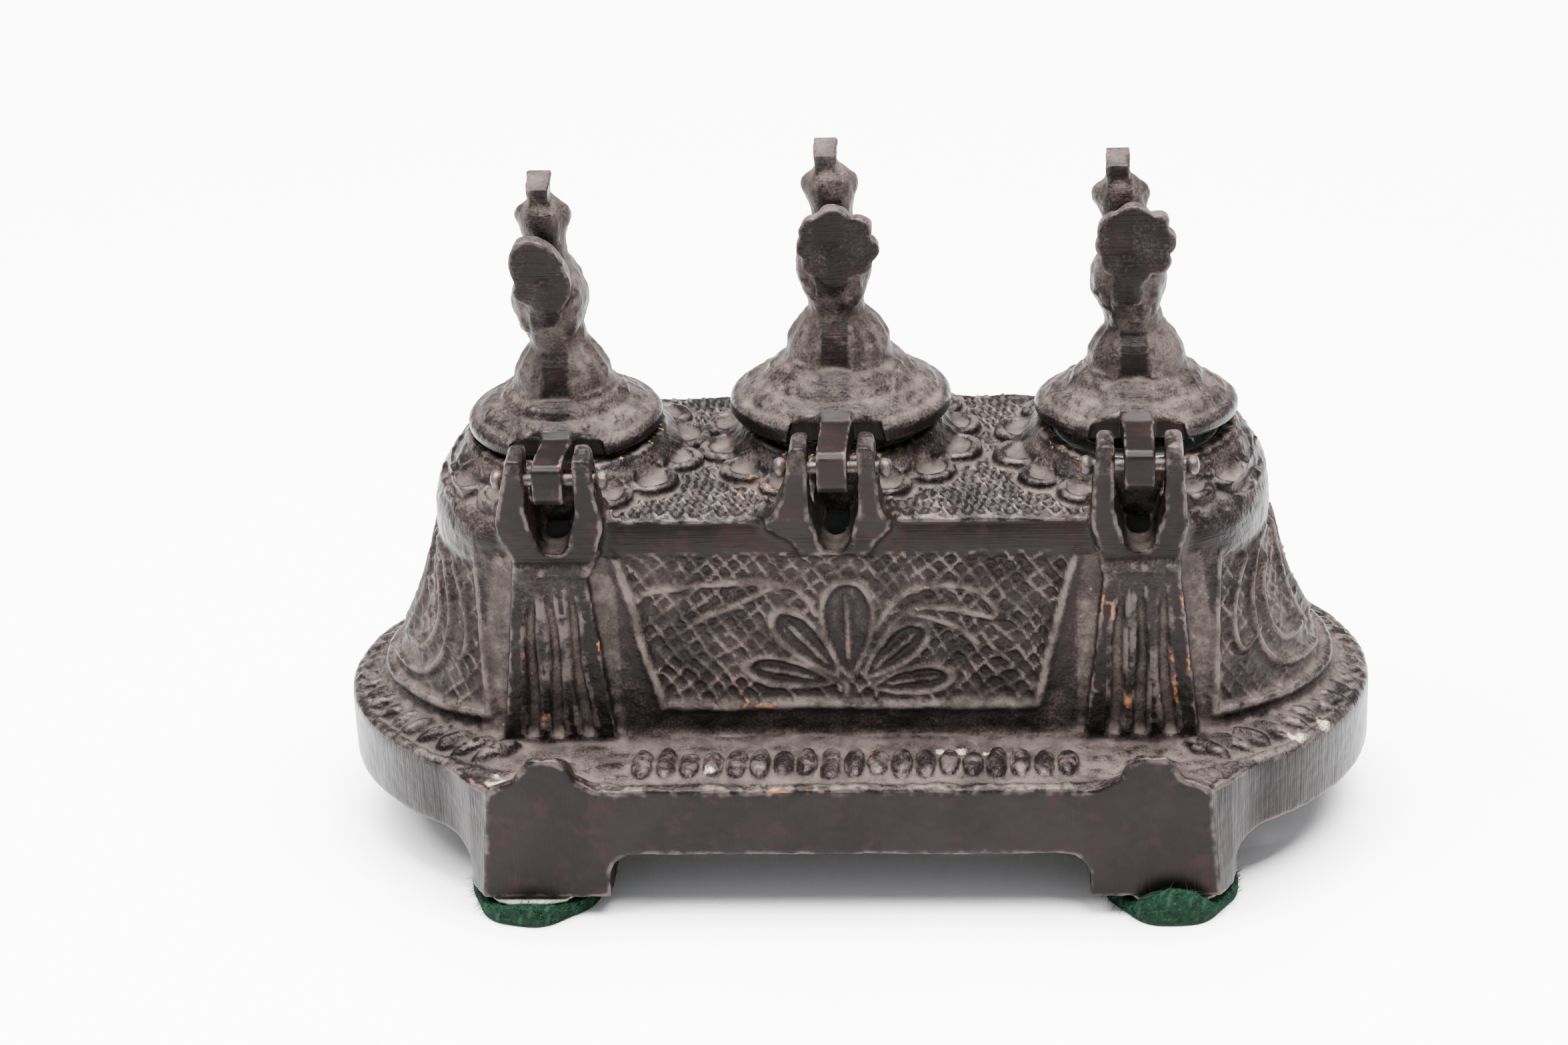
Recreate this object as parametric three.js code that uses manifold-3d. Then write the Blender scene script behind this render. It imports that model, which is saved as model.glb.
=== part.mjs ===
// A cast bronze desk inkwell: one hollow stand with three wells, a hinged lid with a bird finial over
// each well, a hinge pin and a glass ink pot for every lid, and four felt pads under the feet.
// Millimetres. +Z is up, the writer sits at -Y, and the lids hinge at +Y. The origin is under the middle
// of the stand, on the surface that the felt pads rest on.
import * as THREE from "three";
import { mergeVertices } from "three/addons/utils/BufferGeometryUtils.js";
import Module from "manifold-3d";

const wasm = await Module();
wasm.setup();

// ---- driving dimensions ----

// The air kept between two pieces that touch in the metal.
const FIT = 0.3;

// Felt pads and feet.
const PAD_RADIUS = 9.9;
const PAD_OUTBOARD = 2.4;
const FELT_THICKNESS = 2.3;
const BACKING_THICKNESS = 0.4;
const FOOT_HEIGHT = 7;
const FOOT_OUTBOARD = 2.3;
const FOOT_WIDTH = 18.6;
const FOOT_DEPTH = 13.5;
const FOOT_ARCH = 5;
const FOOT_SPREAD = 2.9;
const FOOT_SPREAD_DEPTH = 7;
const FOOT_CROWN_HEIGHT = 5.4;
const FOOT_CROWN_DEPTH = 7;

// Flange: the broad foot of the bell.
const FLANGE_END_LEDGE = 3.9;
const FLANGE_SIDE_LEDGE = 14.8;
const FLANGE_HEIGHT = 11;
const FLANGE_END_CENTRE = 31;
const FLANGE_SKIRT = 5;
const FLANGE_TOP = 4.6;

// Bell: the walls above the flange.
const BELL_HEIGHT = 35.4;
const BELL_FLARE = 11.4;
const FLARE_POWER = 1.6;
const TOP_END_MARGIN = 5;
const TOP_SIDE_MARGIN = 6.4;
const BELL_END_CENTRE = 46;
const SHOULDER_RADIUS = 4.6;
const SHOULDER_SHARE = 0.35;
const WALL = 4;

// Recessed trapezium panel on the front and the rear wall.
const PANEL_BOTTOM_HALF_WIDTH = 26.4;
const PANEL_TOP_HALF_WIDTH = 32.4;
const PANEL_BOTTOM_MARGIN = 6.2;
const PANEL_TOP_MARGIN = 4.4;
const PANEL_RECESS = 0.8;

// Fan-shaped pilasters.
const PILASTER_OUTBOARD = 0.4;
const PILASTER_FOOT_WIDTH = 16.8;
const PILASTER_TOP_WIDTH = 10.4;
const PILASTER_PROUD = 1.4;
const PILASTER_TOP_MARGIN = 6.5;

// Wells, counted from the writer's left.
const WELL_PITCH = 41.6;
const MIDDLE_WELL_SHIFT = 1.4;
const WELL_ROW_SHIFT = -0.2;
const COLLAR_LAND = 1.9;
const COLLAR_HEIGHT = 4.6;
const MOUND_SPREAD = 2.6;

// Glass ink pots.
const POT_RADIUS = 10.6;
const POT_WALL = 1.8;
const POT_DEPTH = 27;
const POT_LIP = 1.6;
const POT_RIM_THICKNESS = 1.6;
const POT_FILLET = 2.5;

// Hinge: two ears, a pin, and the lid's tang between them.
const PIN_RADIUS = 0.9;
const PIN_HEAD_RADIUS = 1.6;
const PIN_HEAD_LENGTH = 1.6;
const PIN_TO_REAR_FACE = 2.65;
const EAR_THICKNESS = 2.9;
const EAR_DEPTH = 5.8;
const EAR_PROUD = 1.5;
const EAR_RISE = 4.2;
const TANG_SIDE_PLAY = 1.35;
const TANG_FOOT_PLAY = 0.15;
const SLOT_DEPTH = 4.4;
const TANG_WIDTH = 4.3;
const TANG_OVER_PIN = 3.6;
const TANG_UNDER_PIN = 2.2;
const TANG_BEHIND_PIN = 3.7;

// Lids.
const NOTCH_DEPTH = 2.8;
const NOTCH_WIDTH = 5;
const LID_RIM_STEP = 3.4;
const BIRD_SUNK = 2.6;
const TAIL_FACE = 6.9;
const TAIL_THICKNESS = 2.8;
const TAIL_HALF_HEIGHT = 5.6;

const LIDS = [
  {
    place: "left",
    wellY: -2.2,
    pinAboveSeat: 3.1,
    earFoot: 14.3,
    overhang: 0.3,
    discThickness: 2.5,
    tilt: 4.6,
    domeHeight: 4.4,
    bossRadius: 7.1,
    bossHeight: 9,
    birdHeight: 24.5,
    lean: 4,
    tailWidth: 11.6,
    tailHeight: 14.4,
    tailShift: -1.1,
    tailTurn: 0,
  },
  {
    place: "middle",
    wellY: -4.8,
    pinAboveSeat: 3.2,
    earFoot: 17,
    overhang: 1.7,
    discThickness: 3.1,
    tilt: 3,
    domeHeight: 5.4,
    bossRadius: 7.7,
    bossHeight: 8.6,
    birdHeight: 26.2,
    lean: 2.5,
    tailWidth: 11.8,
    tailHeight: 12.6,
    tailShift: -0.8,
    tailTurn: 0,
  },
  {
    place: "right",
    wellY: -2,
    pinAboveSeat: 1.6,
    earFoot: 14.3,
    overhang: -0.2,
    discThickness: 2.5,
    tilt: 0.3,
    domeHeight: 4.1,
    bossRadius: 7.2,
    bossHeight: 8.8,
    birdHeight: 24.6,
    lean: 4.2,
    tailWidth: 9,
    tailHeight: 13.7,
    tailShift: -1.5,
    tailTurn: -24,
  },
];

// Facets on round shapes.
const BELL_SEGMENTS = 48;
const ROUND_SEGMENTS = 28;
const SMALL_SEGMENTS = 12;

// ---- levels and places worked out from the dimensions ----

const POT_RIM_RADIUS = POT_RADIUS + POT_LIP;
const COLLAR_RADIUS = POT_RIM_RADIUS + FIT + COLLAR_LAND;
const MOUND_RADIUS = COLLAR_RADIUS + MOUND_SPREAD;
const BELL_TOP_HALF_LENGTH = WELL_PITCH + COLLAR_RADIUS + TOP_END_MARGIN;
const BELL_FOOT_HALF_LENGTH = BELL_TOP_HALF_LENGTH + BELL_FLARE;
const BELL_HALF_DEPTH = COLLAR_RADIUS + TOP_SIDE_MARGIN;
const FLANGE_HALF_LENGTH = BELL_FOOT_HALF_LENGTH + FLANGE_END_LEDGE;
const FLANGE_HALF_DEPTH = BELL_HALF_DEPTH + FLANGE_SIDE_LEDGE;
const FOOT_X = WELL_PITCH + FOOT_OUTBOARD;
const PILASTER_X = WELL_PITCH + PILASTER_OUTBOARD;
const SLOT_WIDTH = TANG_WIDTH + 2 * TANG_SIDE_PLAY;
const SLOT_FOOT_WIDTH = TANG_WIDTH + 2 * TANG_FOOT_PLAY;
const padTop = FELT_THICKNESS + FIT + BACKING_THICKNESS;
const footBottom = padTop + FIT;
const flangeBottom = footBottom + FOOT_HEIGHT;
const flangeTop = flangeBottom + FLANGE_HEIGHT;
const bellTop = flangeTop + BELL_HEIGHT;
const collarTop = bellTop + COLLAR_HEIGHT;
const lidSeat = collarTop + FIT;
const rearFace = BELL_HALF_DEPTH + EAR_PROUD;
const pinY = rearFace - PIN_TO_REAR_FACE;
const OVERLAP = 0.6;

function hingeX(index) {
  const shift = index === 1 ? MIDDLE_WELL_SHIFT : 0;
  return (index - 1) * WELL_PITCH + shift + WELL_ROW_SHIFT;
}

function pinZ(lid) {
  return lidSeat + lid.pinAboveSeat;
}

// ---- solids ----

function solid(geometry) {
  const bare = geometry.index ? geometry.toNonIndexed() : geometry.clone();
  bare.deleteAttribute("normal");
  bare.deleteAttribute("uv");
  const merged = mergeVertices(bare, 1e-4);
  const mesh = new wasm.Mesh({
    numProp: 3,
    vertProperties: new Float32Array(merged.attributes.position.array),
    triVerts: new Uint32Array(merged.index.array),
  });
  return new wasm.Manifold(mesh);
}

function geometryOf(made) {
  const mesh = made.getMesh();
  const geometry = new THREE.BufferGeometry();
  const points = new Float32Array(mesh.numVert * 3);
  for (let i = 0; i < mesh.numVert; i += 1) {
    points.set(mesh.vertProperties.subarray(i * mesh.numProp, i * mesh.numProp + 3), i * 3);
  }
  geometry.setAttribute("position", new THREE.BufferAttribute(points, 3));
  geometry.setIndex(new THREE.BufferAttribute(new Uint32Array(mesh.triVerts), 1));
  geometry.computeVertexNormals();
  return geometry;
}

function union(pieces) {
  return pieces.reduce((all, piece) => all.add(piece));
}

// A closed stack of stadium-like outlines. Each level is { z, length, depth, centre }: half the length,
// half the depth, and how far out the centre of each rounded end stands.
function loft(levels, segments = BELL_SEGMENTS) {
  const half = Math.PI / segments;
  const geometry = new THREE.CylinderGeometry(1, 1, 1, segments, levels.length - 1, false, half);
  geometry.rotateX(Math.PI / 2);
  const points = geometry.attributes.position;
  for (let i = 0; i < points.count; i += 1) {
    const step = Math.round((points.getZ(i) + 0.5) * (levels.length - 1));
    const level = levels[step];
    const x = points.getX(i);
    const y = points.getY(i);
    const onAxis = Math.hypot(x, y) < 0.5;
    const end = onAxis ? 0 : Math.sign(x) * level.centre;
    points.setXYZ(i, end + x * (level.length - level.centre), y * level.depth, level.z);
  }
  return solid(geometry);
}

// A prism along Y of an outline drawn in X and Z.
function prismY(shape, yFrom, yTo) {
  const geometry = new THREE.ExtrudeGeometry(shape, {
    depth: yTo - yFrom,
    bevelEnabled: false,
    curveSegments: 6,
  });
  geometry.rotateX(Math.PI / 2);
  geometry.translate(0, yTo, 0);
  return solid(geometry);
}

// A prism along X, centred on x, of an outline drawn in Y and Z.
function prismX(shape, x, width) {
  const geometry = new THREE.ExtrudeGeometry(shape, {
    depth: width,
    bevelEnabled: false,
    curveSegments: 6,
  });
  geometry.rotateY(Math.PI / 2);
  geometry.rotateX(Math.PI / 2);
  geometry.translate(x - width / 2, 0, 0);
  return solid(geometry);
}

// A prism along Z of an outline drawn in X and Y.
function prismZ(shape, zFrom, zTo) {
  const geometry = new THREE.ExtrudeGeometry(shape, {
    depth: zTo - zFrom,
    bevelEnabled: false,
    curveSegments: 6,
  });
  geometry.translate(0, 0, zFrom);
  return solid(geometry);
}

function lathe(profile, x, y, segments = ROUND_SEGMENTS) {
  const points = profile.map(([radius, z]) => new THREE.Vector2(radius, z));
  const geometry = new THREE.LatheGeometry(points, segments);
  geometry.rotateX(Math.PI / 2);
  geometry.translate(x, y, 0);
  return solid(geometry);
}

function rodX(radius, x, y, z, length) {
  const geometry = new THREE.CylinderGeometry(radius, radius, length, SMALL_SEGMENTS);
  geometry.rotateZ(Math.PI / 2);
  geometry.translate(x, y, z);
  return solid(geometry);
}

function ball(rx, ry, rz, x, y, z, pitch = 0) {
  const geometry = new THREE.SphereGeometry(1, SMALL_SEGMENTS, SMALL_SEGMENTS / 2 + 2);
  geometry.rotateX(Math.PI / 2);
  geometry.scale(rx, ry, rz);
  geometry.rotateX(THREE.MathUtils.degToRad(pitch));
  geometry.translate(x, y, z);
  return solid(geometry);
}

function outline(points) {
  return new THREE.Shape(points.map(([u, v]) => new THREE.Vector2(u, v)));
}

// ---- the stand ----

function bellLevels(inset) {
  const rise = BELL_HEIGHT - SHOULDER_RADIUS;
  const levels = [];
  for (const share of [0, 0.08, 0.18, 0.32, 0.5, 0.75, 1]) {
    const flare = BELL_FLARE * (1 - share) ** FLARE_POWER;
    levels.push({
      z: flangeTop + rise * share,
      length: BELL_TOP_HALF_LENGTH + flare - inset,
      depth: BELL_HALF_DEPTH - inset,
      centre: BELL_END_CENTRE,
    });
  }
  return levels;
}

function bell() {
  const levels = bellLevels(0);
  const foot = levels[0];
  levels.unshift({ ...foot, z: flangeTop - FLANGE_TOP / 2 });
  for (const angle of [30, 60, 90]) {
    const turn = THREE.MathUtils.degToRad(angle);
    const inward = SHOULDER_RADIUS * (1 - Math.cos(turn));
    levels.push({
      z: bellTop - SHOULDER_RADIUS * (1 - Math.sin(turn)),
      length: BELL_TOP_HALF_LENGTH - inward,
      depth: BELL_HALF_DEPTH - inward * SHOULDER_SHARE,
      centre: BELL_END_CENTRE - inward,
    });
  }
  return loft(levels);
}

function flange(inset, bottom, top) {
  const ring = {
    length: FLANGE_HALF_LENGTH - inset,
    depth: FLANGE_HALF_DEPTH - inset,
    centre: FLANGE_END_CENTRE,
  };
  return loft([
    { ...ring, z: bottom },
    { ...ring, z: top },
  ]);
}

function hollow() {
  const ceiling = bellTop - WALL;
  const inside = bellLevels(WALL).filter((level) => level.z < ceiling - WALL);
  const floor = { ...inside[0], z: flangeBottom - OVERLAP };
  const last = inside[inside.length - 1];
  const roof = { ...last, z: ceiling, length: last.length - WALL / 2, depth: last.depth - WALL / 2 };
  const skirt = flange(FLANGE_SKIRT, flangeBottom - OVERLAP, flangeTop - FLANGE_TOP);
  return loft([floor, ...inside, roof]).add(skirt);
}

function pilaster(side, ySide) {
  const x = side * PILASTER_X;
  const top = bellTop - PILASTER_TOP_MARGIN;
  const shape = outline([
    [x - PILASTER_FOOT_WIDTH / 2, flangeTop - OVERLAP],
    [x + PILASTER_FOOT_WIDTH / 2, flangeTop - OVERLAP],
    [x + PILASTER_TOP_WIDTH / 2, top],
    [x - PILASTER_TOP_WIDTH / 2, top],
  ]);
  const inner = ySide * (BELL_HALF_DEPTH - WALL / 2);
  const outer = ySide * (BELL_HALF_DEPTH + PILASTER_PROUD);
  return prismY(shape, Math.min(inner, outer), Math.max(inner, outer));
}

function panel(ySide) {
  const bottom = flangeTop + PANEL_BOTTOM_MARGIN;
  const top = bellTop - PANEL_TOP_MARGIN;
  const shape = outline([
    [-PANEL_BOTTOM_HALF_WIDTH, bottom],
    [PANEL_BOTTOM_HALF_WIDTH, bottom],
    [PANEL_TOP_HALF_WIDTH, top],
    [-PANEL_TOP_HALF_WIDTH, top],
  ]);
  const inner = ySide * (BELL_HALF_DEPTH - PANEL_RECESS);
  const outer = ySide * (BELL_HALF_DEPTH + OVERLAP);
  return prismY(shape, Math.min(inner, outer), Math.max(inner, outer));
}

function foot(side, ySide) {
  const left = side * FOOT_X - FOOT_WIDTH / 2;
  const right = side * FOOT_X + FOOT_WIDTH / 2;
  const archTop = flangeBottom + OVERLAP;
  const leg = new THREE.Shape();
  const inner = side > 0 ? left : right;
  const outer = side > 0 ? right : left;
  leg.moveTo(outer, footBottom);
  leg.lineTo(outer, archTop);
  leg.lineTo(inner - side * FOOT_ARCH, archTop);
  leg.lineTo(inner - side * FOOT_ARCH, flangeBottom);
  leg.quadraticCurveTo(inner, flangeBottom, inner, flangeBottom - FOOT_ARCH);
  leg.lineTo(inner, footBottom);
  const block = outline([
    [left, archTop - 2 * OVERLAP],
    [right, archTop - 2 * OVERLAP],
    [right, flangeTop],
    [left, flangeTop],
  ]);
  const peak = flangeTop + FOOT_CROWN_HEIGHT;
  const crown = new THREE.Shape();
  crown.moveTo(left, flangeTop - OVERLAP);
  crown.lineTo(right, flangeTop - OVERLAP);
  crown.quadraticCurveTo(right - FOOT_WIDTH * 0.2, flangeTop, right - FOOT_WIDTH * 0.28, peak - 1.4);
  crown.lineTo(right - FOOT_WIDTH * 0.38, peak);
  crown.lineTo(left + FOOT_WIDTH * 0.38, peak);
  crown.lineTo(left + FOOT_WIDTH * 0.28, peak - 1.4);
  crown.quadraticCurveTo(left + FOOT_WIDTH * 0.2, flangeTop, left, flangeTop - OVERLAP);
  const face = FLANGE_HALF_DEPTH + 0.4;
  const spans = [
    [leg, face - FOOT_DEPTH],
    [block, face - FOOT_DEPTH],
    [crown, face - FOOT_CROWN_DEPTH],
  ];
  const pieces = spans.map(([shape, back]) => {
    const ends = [ySide * back, ySide * face];
    return prismY(shape, Math.min(...ends), Math.max(...ends));
  });
  // The outboard side of the block spreads away from the outer face.
  const corner = side * (FOOT_X + FOOT_WIDTH / 2);
  const spread = outline([
    [corner, ySide * face],
    [corner + side * FOOT_SPREAD, ySide * (face - FOOT_SPREAD_DEPTH)],
    [corner + side * FOOT_SPREAD, ySide * (face - FOOT_DEPTH)],
    [corner - side * 2, ySide * (face - FOOT_DEPTH)],
    [corner - side * 2, ySide * face],
  ]);
  pieces.push(prismZ(spread, footBottom, flangeTop - OVERLAP));
  return union(pieces);
}

function ears(index) {
  const lid = LIDS[index];
  const x = hingeX(index);
  const top = pinZ(lid) + EAR_RISE;
  const half = SLOT_WIDTH / 2 + EAR_THICKNESS;
  const knee = pinZ(lid) - PIN_HEAD_RADIUS - FIT;
  const base = bellTop - PILASTER_TOP_MARGIN - OVERLAP;
  const shape = outline([
    [x - PILASTER_TOP_WIDTH / 2, base],
    [x + PILASTER_TOP_WIDTH / 2, base],
    [x + lid.earFoot / 2, bellTop - SLOT_DEPTH / 2],
    [x + lid.earFoot / 2, bellTop],
    [x + half, knee],
    [x + half - 0.6, top],
    [x - half + 0.6, top],
    [x - half, knee],
    [x - lid.earFoot / 2, bellTop],
    [x - lid.earFoot / 2, bellTop - SLOT_DEPTH / 2],
  ]);
  return prismY(shape, rearFace - EAR_DEPTH, rearFace);
}

function slot(index) {
  const lid = LIDS[index];
  const x = hingeX(index);
  const floor = bellTop - SLOT_DEPTH;
  const top = pinZ(lid) + EAR_RISE + OVERLAP;
  const shape = new THREE.Shape();
  shape.moveTo(x - SLOT_WIDTH / 2, top);
  shape.lineTo(x - SLOT_WIDTH / 2, bellTop + COLLAR_HEIGHT / 2);
  shape.lineTo(x - SLOT_FOOT_WIDTH / 2, floor + SLOT_FOOT_WIDTH / 2);
  shape.quadraticCurveTo(x - SLOT_FOOT_WIDTH / 2, floor, x, floor);
  shape.quadraticCurveTo(x + SLOT_FOOT_WIDTH / 2, floor, x + SLOT_FOOT_WIDTH / 2, floor + SLOT_FOOT_WIDTH / 2);
  shape.lineTo(x + SLOT_WIDTH / 2, bellTop + COLLAR_HEIGHT / 2);
  shape.lineTo(x + SLOT_WIDTH / 2, top);
  return prismY(shape, lid.wellY + COLLAR_RADIUS + FIT, rearFace + OVERLAP);
}

function collar(index) {
  const profile = [
    [0, bellTop - WALL / 2],
    [MOUND_RADIUS, bellTop - WALL / 2],
    [MOUND_RADIUS, bellTop],
    [COLLAR_RADIUS + 1, bellTop + COLLAR_HEIGHT * 0.7],
    [COLLAR_RADIUS, collarTop],
    [0, collarTop],
  ];
  return lathe(profile, hingeX(index), LIDS[index].wellY);
}

function wellBore(index) {
  const bore = POT_RADIUS + FIT;
  const recess = POT_RIM_RADIUS + FIT;
  const ledge = collarTop - POT_RIM_THICKNESS - 2 * FIT;
  const profile = [
    [0, bellTop - 2 * WALL],
    [bore, bellTop - 2 * WALL],
    [bore, ledge],
    [recess, ledge],
    [recess, collarTop + OVERLAP],
    [0, collarTop + OVERLAP],
  ];
  return lathe(profile, hingeX(index), LIDS[index].wellY);
}

function pinHole(index) {
  const length = SLOT_WIDTH + 4 * EAR_THICKNESS;
  return rodX(PIN_RADIUS + FIT, hingeX(index), pinY, pinZ(LIDS[index]), length);
}

function stand() {
  const wells = LIDS.map((lid, index) => index);
  const corners = [
    [-1, -1],
    [1, -1],
    [-1, 1],
    [1, 1],
  ];
  let made = union([bell(), flange(0, flangeBottom, flangeTop), ...wells.map(collar)]);
  made = made.subtract(panel(-1)).subtract(panel(1)).subtract(hollow());
  made = union([made, ...wells.map(ears)]);
  made = union([made, ...corners.map(([side, ySide]) => pilaster(side, ySide))]);
  made = union([made, ...corners.map(([side, ySide]) => foot(side, ySide))]);
  for (const index of wells) {
    made = made.subtract(wellBore(index)).subtract(slot(index)).subtract(pinHole(index));
  }
  return made;
}

// ---- a lid, its finial and its tang, cast in one ----

// The disc stands on its own plane at z = 0 here, and the whole is tilted into place afterwards.
function bird(lid, base) {
  const s = lid.birdHeight / 25;
  const tailZ = base + lid.tailHeight;
  const pieces = [
    ball(4.3 * s, 4.8 * s, 4.2 * s, 0, 0.4 * s, base + 3.4 * s),
    ball(5.2 * s, 7.6 * s, 5.9 * s, 0, -0.4 * s, base + 7.6 * s, -14),
    ball(3.1 * s, 3.4 * s, 6.8 * s, 0, -1.7 * s, base + 13.8 * s, 6),
    ball(3.6 * s, 4.1 * s, 3.8 * s, 0, -2.3 * s, base + 18.6 * s),
    ball(1.3 * s, 1.4 * s, 1.5 * s, 3.1 * s, -2.7 * s, base + 19 * s),
    ball(1.3 * s, 1.4 * s, 1.5 * s, -3.1 * s, -2.7 * s, base + 19 * s),
    ball(1.2 * s, 3 * s, 1.2 * s, 0, -6.4 * s, base + 17.8 * s, 14),
  ];
  const crest = outline([
    [-4.9 * s, base + 19 * s],
    [-0.2 * s, base + 19 * s],
    [-0.3 * s, base + 23.8 * s],
    [-2.4 * s, base + 24.6 * s],
    [-4.6 * s, base + 25 * s],
  ]);
  pieces.push(prismX(crest, 0, 3.4 * s));
  const stalk = outline([
    [0, base + 6 * s],
    [TAIL_FACE - 1, tailZ - 4.6 * s],
    [TAIL_FACE - 1, tailZ + 2.6 * s],
    [3 * s, base + 12.6 * s],
    [0, base + 11 * s],
  ]);
  pieces.push(prismX(stalk, 0, 4 * s));
  const stub = outline([
    [0.4 * s, base + 1.6 * s],
    [5.2 * s, base + 5 * s],
    [5.8 * s, base + 8.2 * s],
    [0.4 * s, base + 8.2 * s],
  ]);
  pieces.push(prismX(stub, 0, 3.8 * s));
  const fan = new THREE.Shape();
  fan.absellipse(0, 0, lid.tailWidth / 2, TAIL_HALF_HEIGHT * s, 0, Math.PI * 2, false, 0);
  const tail = new THREE.ExtrudeGeometry(fan, { depth: TAIL_THICKNESS, bevelEnabled: false, curveSegments: 12 });
  tail.rotateZ(THREE.MathUtils.degToRad(lid.tailTurn));
  tail.rotateX(Math.PI / 2);
  tail.translate(lid.tailShift, TAIL_FACE, tailZ);
  pieces.push(solid(tail));
  const turned = union(pieces).rotate([0, lid.lean, 0]);
  const swing = base * Math.sin(THREE.MathUtils.degToRad(lid.lean));
  return turned.translate([-swing, 0, 0]);
}

function lidTop(lid) {
  const t = lid.discThickness;
  const r = COLLAR_RADIUS + lid.overhang;
  const dome = t + lid.domeHeight;
  const profile = [
    [0, 0],
    [r - 0.5, 0],
    [r, 0.5],
    [r, t - 0.5],
    [r - 0.5, t],
    [r - LID_RIM_STEP, t + 0.3],
    [r - LID_RIM_STEP - 0.6, t + 1.3],
    [lid.bossRadius + 0.4, dome],
    [lid.bossRadius, dome + 0.6],
  ];
  for (const angle of [15, 35, 55, 75]) {
    const turn = THREE.MathUtils.degToRad(angle);
    const z = dome + 0.6 + (lid.bossHeight - 0.6) * Math.sin(turn);
    profile.push([lid.bossRadius * Math.cos(turn), z]);
  }
  profile.push([0, dome + lid.bossHeight]);
  return lathe(profile, 0, 0);
}

function lidCasting(index) {
  const lid = LIDS[index];
  const x = hingeX(index);
  const r = COLLAR_RADIUS + lid.overhang;
  const tilt = THREE.MathUtils.degToRad(lid.tilt);
  let made = lidTop(lid).add(bird(lid, lid.discThickness + lid.domeHeight + lid.bossHeight - BIRD_SUNK));
  for (const side of [-1, 1]) {
    const from = side * (TANG_WIDTH / 2);
    const to = side * (TANG_WIDTH / 2 + NOTCH_WIDTH);
    const notch = outline([
      [Math.min(from, to), -OVERLAP],
      [Math.max(from, to), -OVERLAP],
      [Math.max(from, to), lid.discThickness + 2],
      [Math.min(from, to), lid.discThickness + 2],
    ]);
    made = made.subtract(prismY(notch, r - NOTCH_DEPTH, r + OVERLAP));
  }
  // The front edge of the disc stays on the collar, and the pin holds its rear edge up.
  made = made.translate([0, r, 0]).rotate([lid.tilt, 0, 0]);
  made = made.translate([x, lid.wellY - r, lidSeat]);
  const rearY = lid.wellY - r + 2 * r * Math.cos(tilt);
  const rearZ = lidSeat + 2 * r * Math.sin(tilt);
  const z = pinZ(lid);
  const root = rearY - NOTCH_DEPTH - 1.6;
  const tang = outline([
    [root, rearZ + 0.1],
    [lid.wellY + COLLAR_RADIUS + 2 * FIT, rearZ + 0.1],
    [pinY - 2.6, z - TANG_UNDER_PIN],
    [pinY + TANG_BEHIND_PIN - 1, z - TANG_UNDER_PIN - 0.5],
    [pinY + TANG_BEHIND_PIN, z - TANG_UNDER_PIN + 0.8],
    [pinY + TANG_BEHIND_PIN, z + TANG_OVER_PIN - 0.4],
    [pinY + TANG_BEHIND_PIN - 0.8, z + TANG_OVER_PIN],
    [pinY - 1.5, z + TANG_OVER_PIN - 0.3],
    [root, rearZ + lid.discThickness - 0.2],
  ]);
  made = made.add(prismX(tang, x, TANG_WIDTH));
  return made.subtract(rodX(PIN_RADIUS + FIT, x, pinY, z, TANG_WIDTH + 2));
}

// ---- pins, pots and pads ----

function hingePin(index) {
  const x = hingeX(index);
  const z = pinZ(LIDS[index]);
  const shank = SLOT_WIDTH + 2 * EAR_THICKNESS + 2 * FIT;
  const head = (side) => {
    const middle = x + side * (shank / 2 + PIN_HEAD_LENGTH / 2);
    return rodX(PIN_HEAD_RADIUS, middle, pinY, z, PIN_HEAD_LENGTH);
  };
  return union([rodX(PIN_RADIUS, x, pinY, z, shank + PIN_HEAD_LENGTH), head(-1), head(1)]);
}

function inkPot(index) {
  const top = collarTop - FIT;
  const under = top - POT_RIM_THICKNESS;
  const bottom = top - POT_DEPTH;
  const inner = POT_RADIUS - POT_WALL;
  const profile = [
    [0, bottom],
    [POT_RADIUS - POT_FILLET, bottom],
    [POT_RADIUS - POT_FILLET / 4, bottom + POT_FILLET / 4],
    [POT_RADIUS, bottom + POT_FILLET],
    [POT_RADIUS, under],
    [POT_RIM_RADIUS, under],
    [POT_RIM_RADIUS, top],
    [inner, top],
    [inner, bottom + POT_WALL + POT_FILLET],
    [inner - POT_FILLET / 3, bottom + POT_WALL + POT_FILLET / 3],
    [inner - POT_FILLET, bottom + POT_WALL],
    [0, bottom + POT_WALL],
  ];
  return lathe(profile, hingeX(index), LIDS[index].wellY);
}

function disc(radius, bottom, top, x, y) {
  const profile = [
    [0, bottom],
    [radius, bottom],
    [radius, top],
    [0, top],
  ];
  return lathe(profile, x, y, 24);
}

// ---- the assembly ----

const BRONZE = new THREE.MeshStandardMaterial({ color: 0x3d3535, roughness: 0.55, metalness: 0.7 });
const PIN_BRASS = new THREE.MeshStandardMaterial({ color: 0x6e5138, roughness: 0.5, metalness: 0.8 });
const GLASS = new THREE.MeshStandardMaterial({ color: 0xb9c9c4, roughness: 0.1, metalness: 0 });
const FELT = new THREE.MeshStandardMaterial({ color: 0x0d5a34, roughness: 0.95, metalness: 0 });
const BACKING = new THREE.MeshStandardMaterial({ color: 0xc9c2ae, roughness: 0.8, metalness: 0 });

const inkwell = new THREE.Group();

function place(name, made, material) {
  const mesh = new THREE.Mesh(geometryOf(made), material.clone());
  mesh.name = name;
  inkwell.add(mesh);
}

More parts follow.
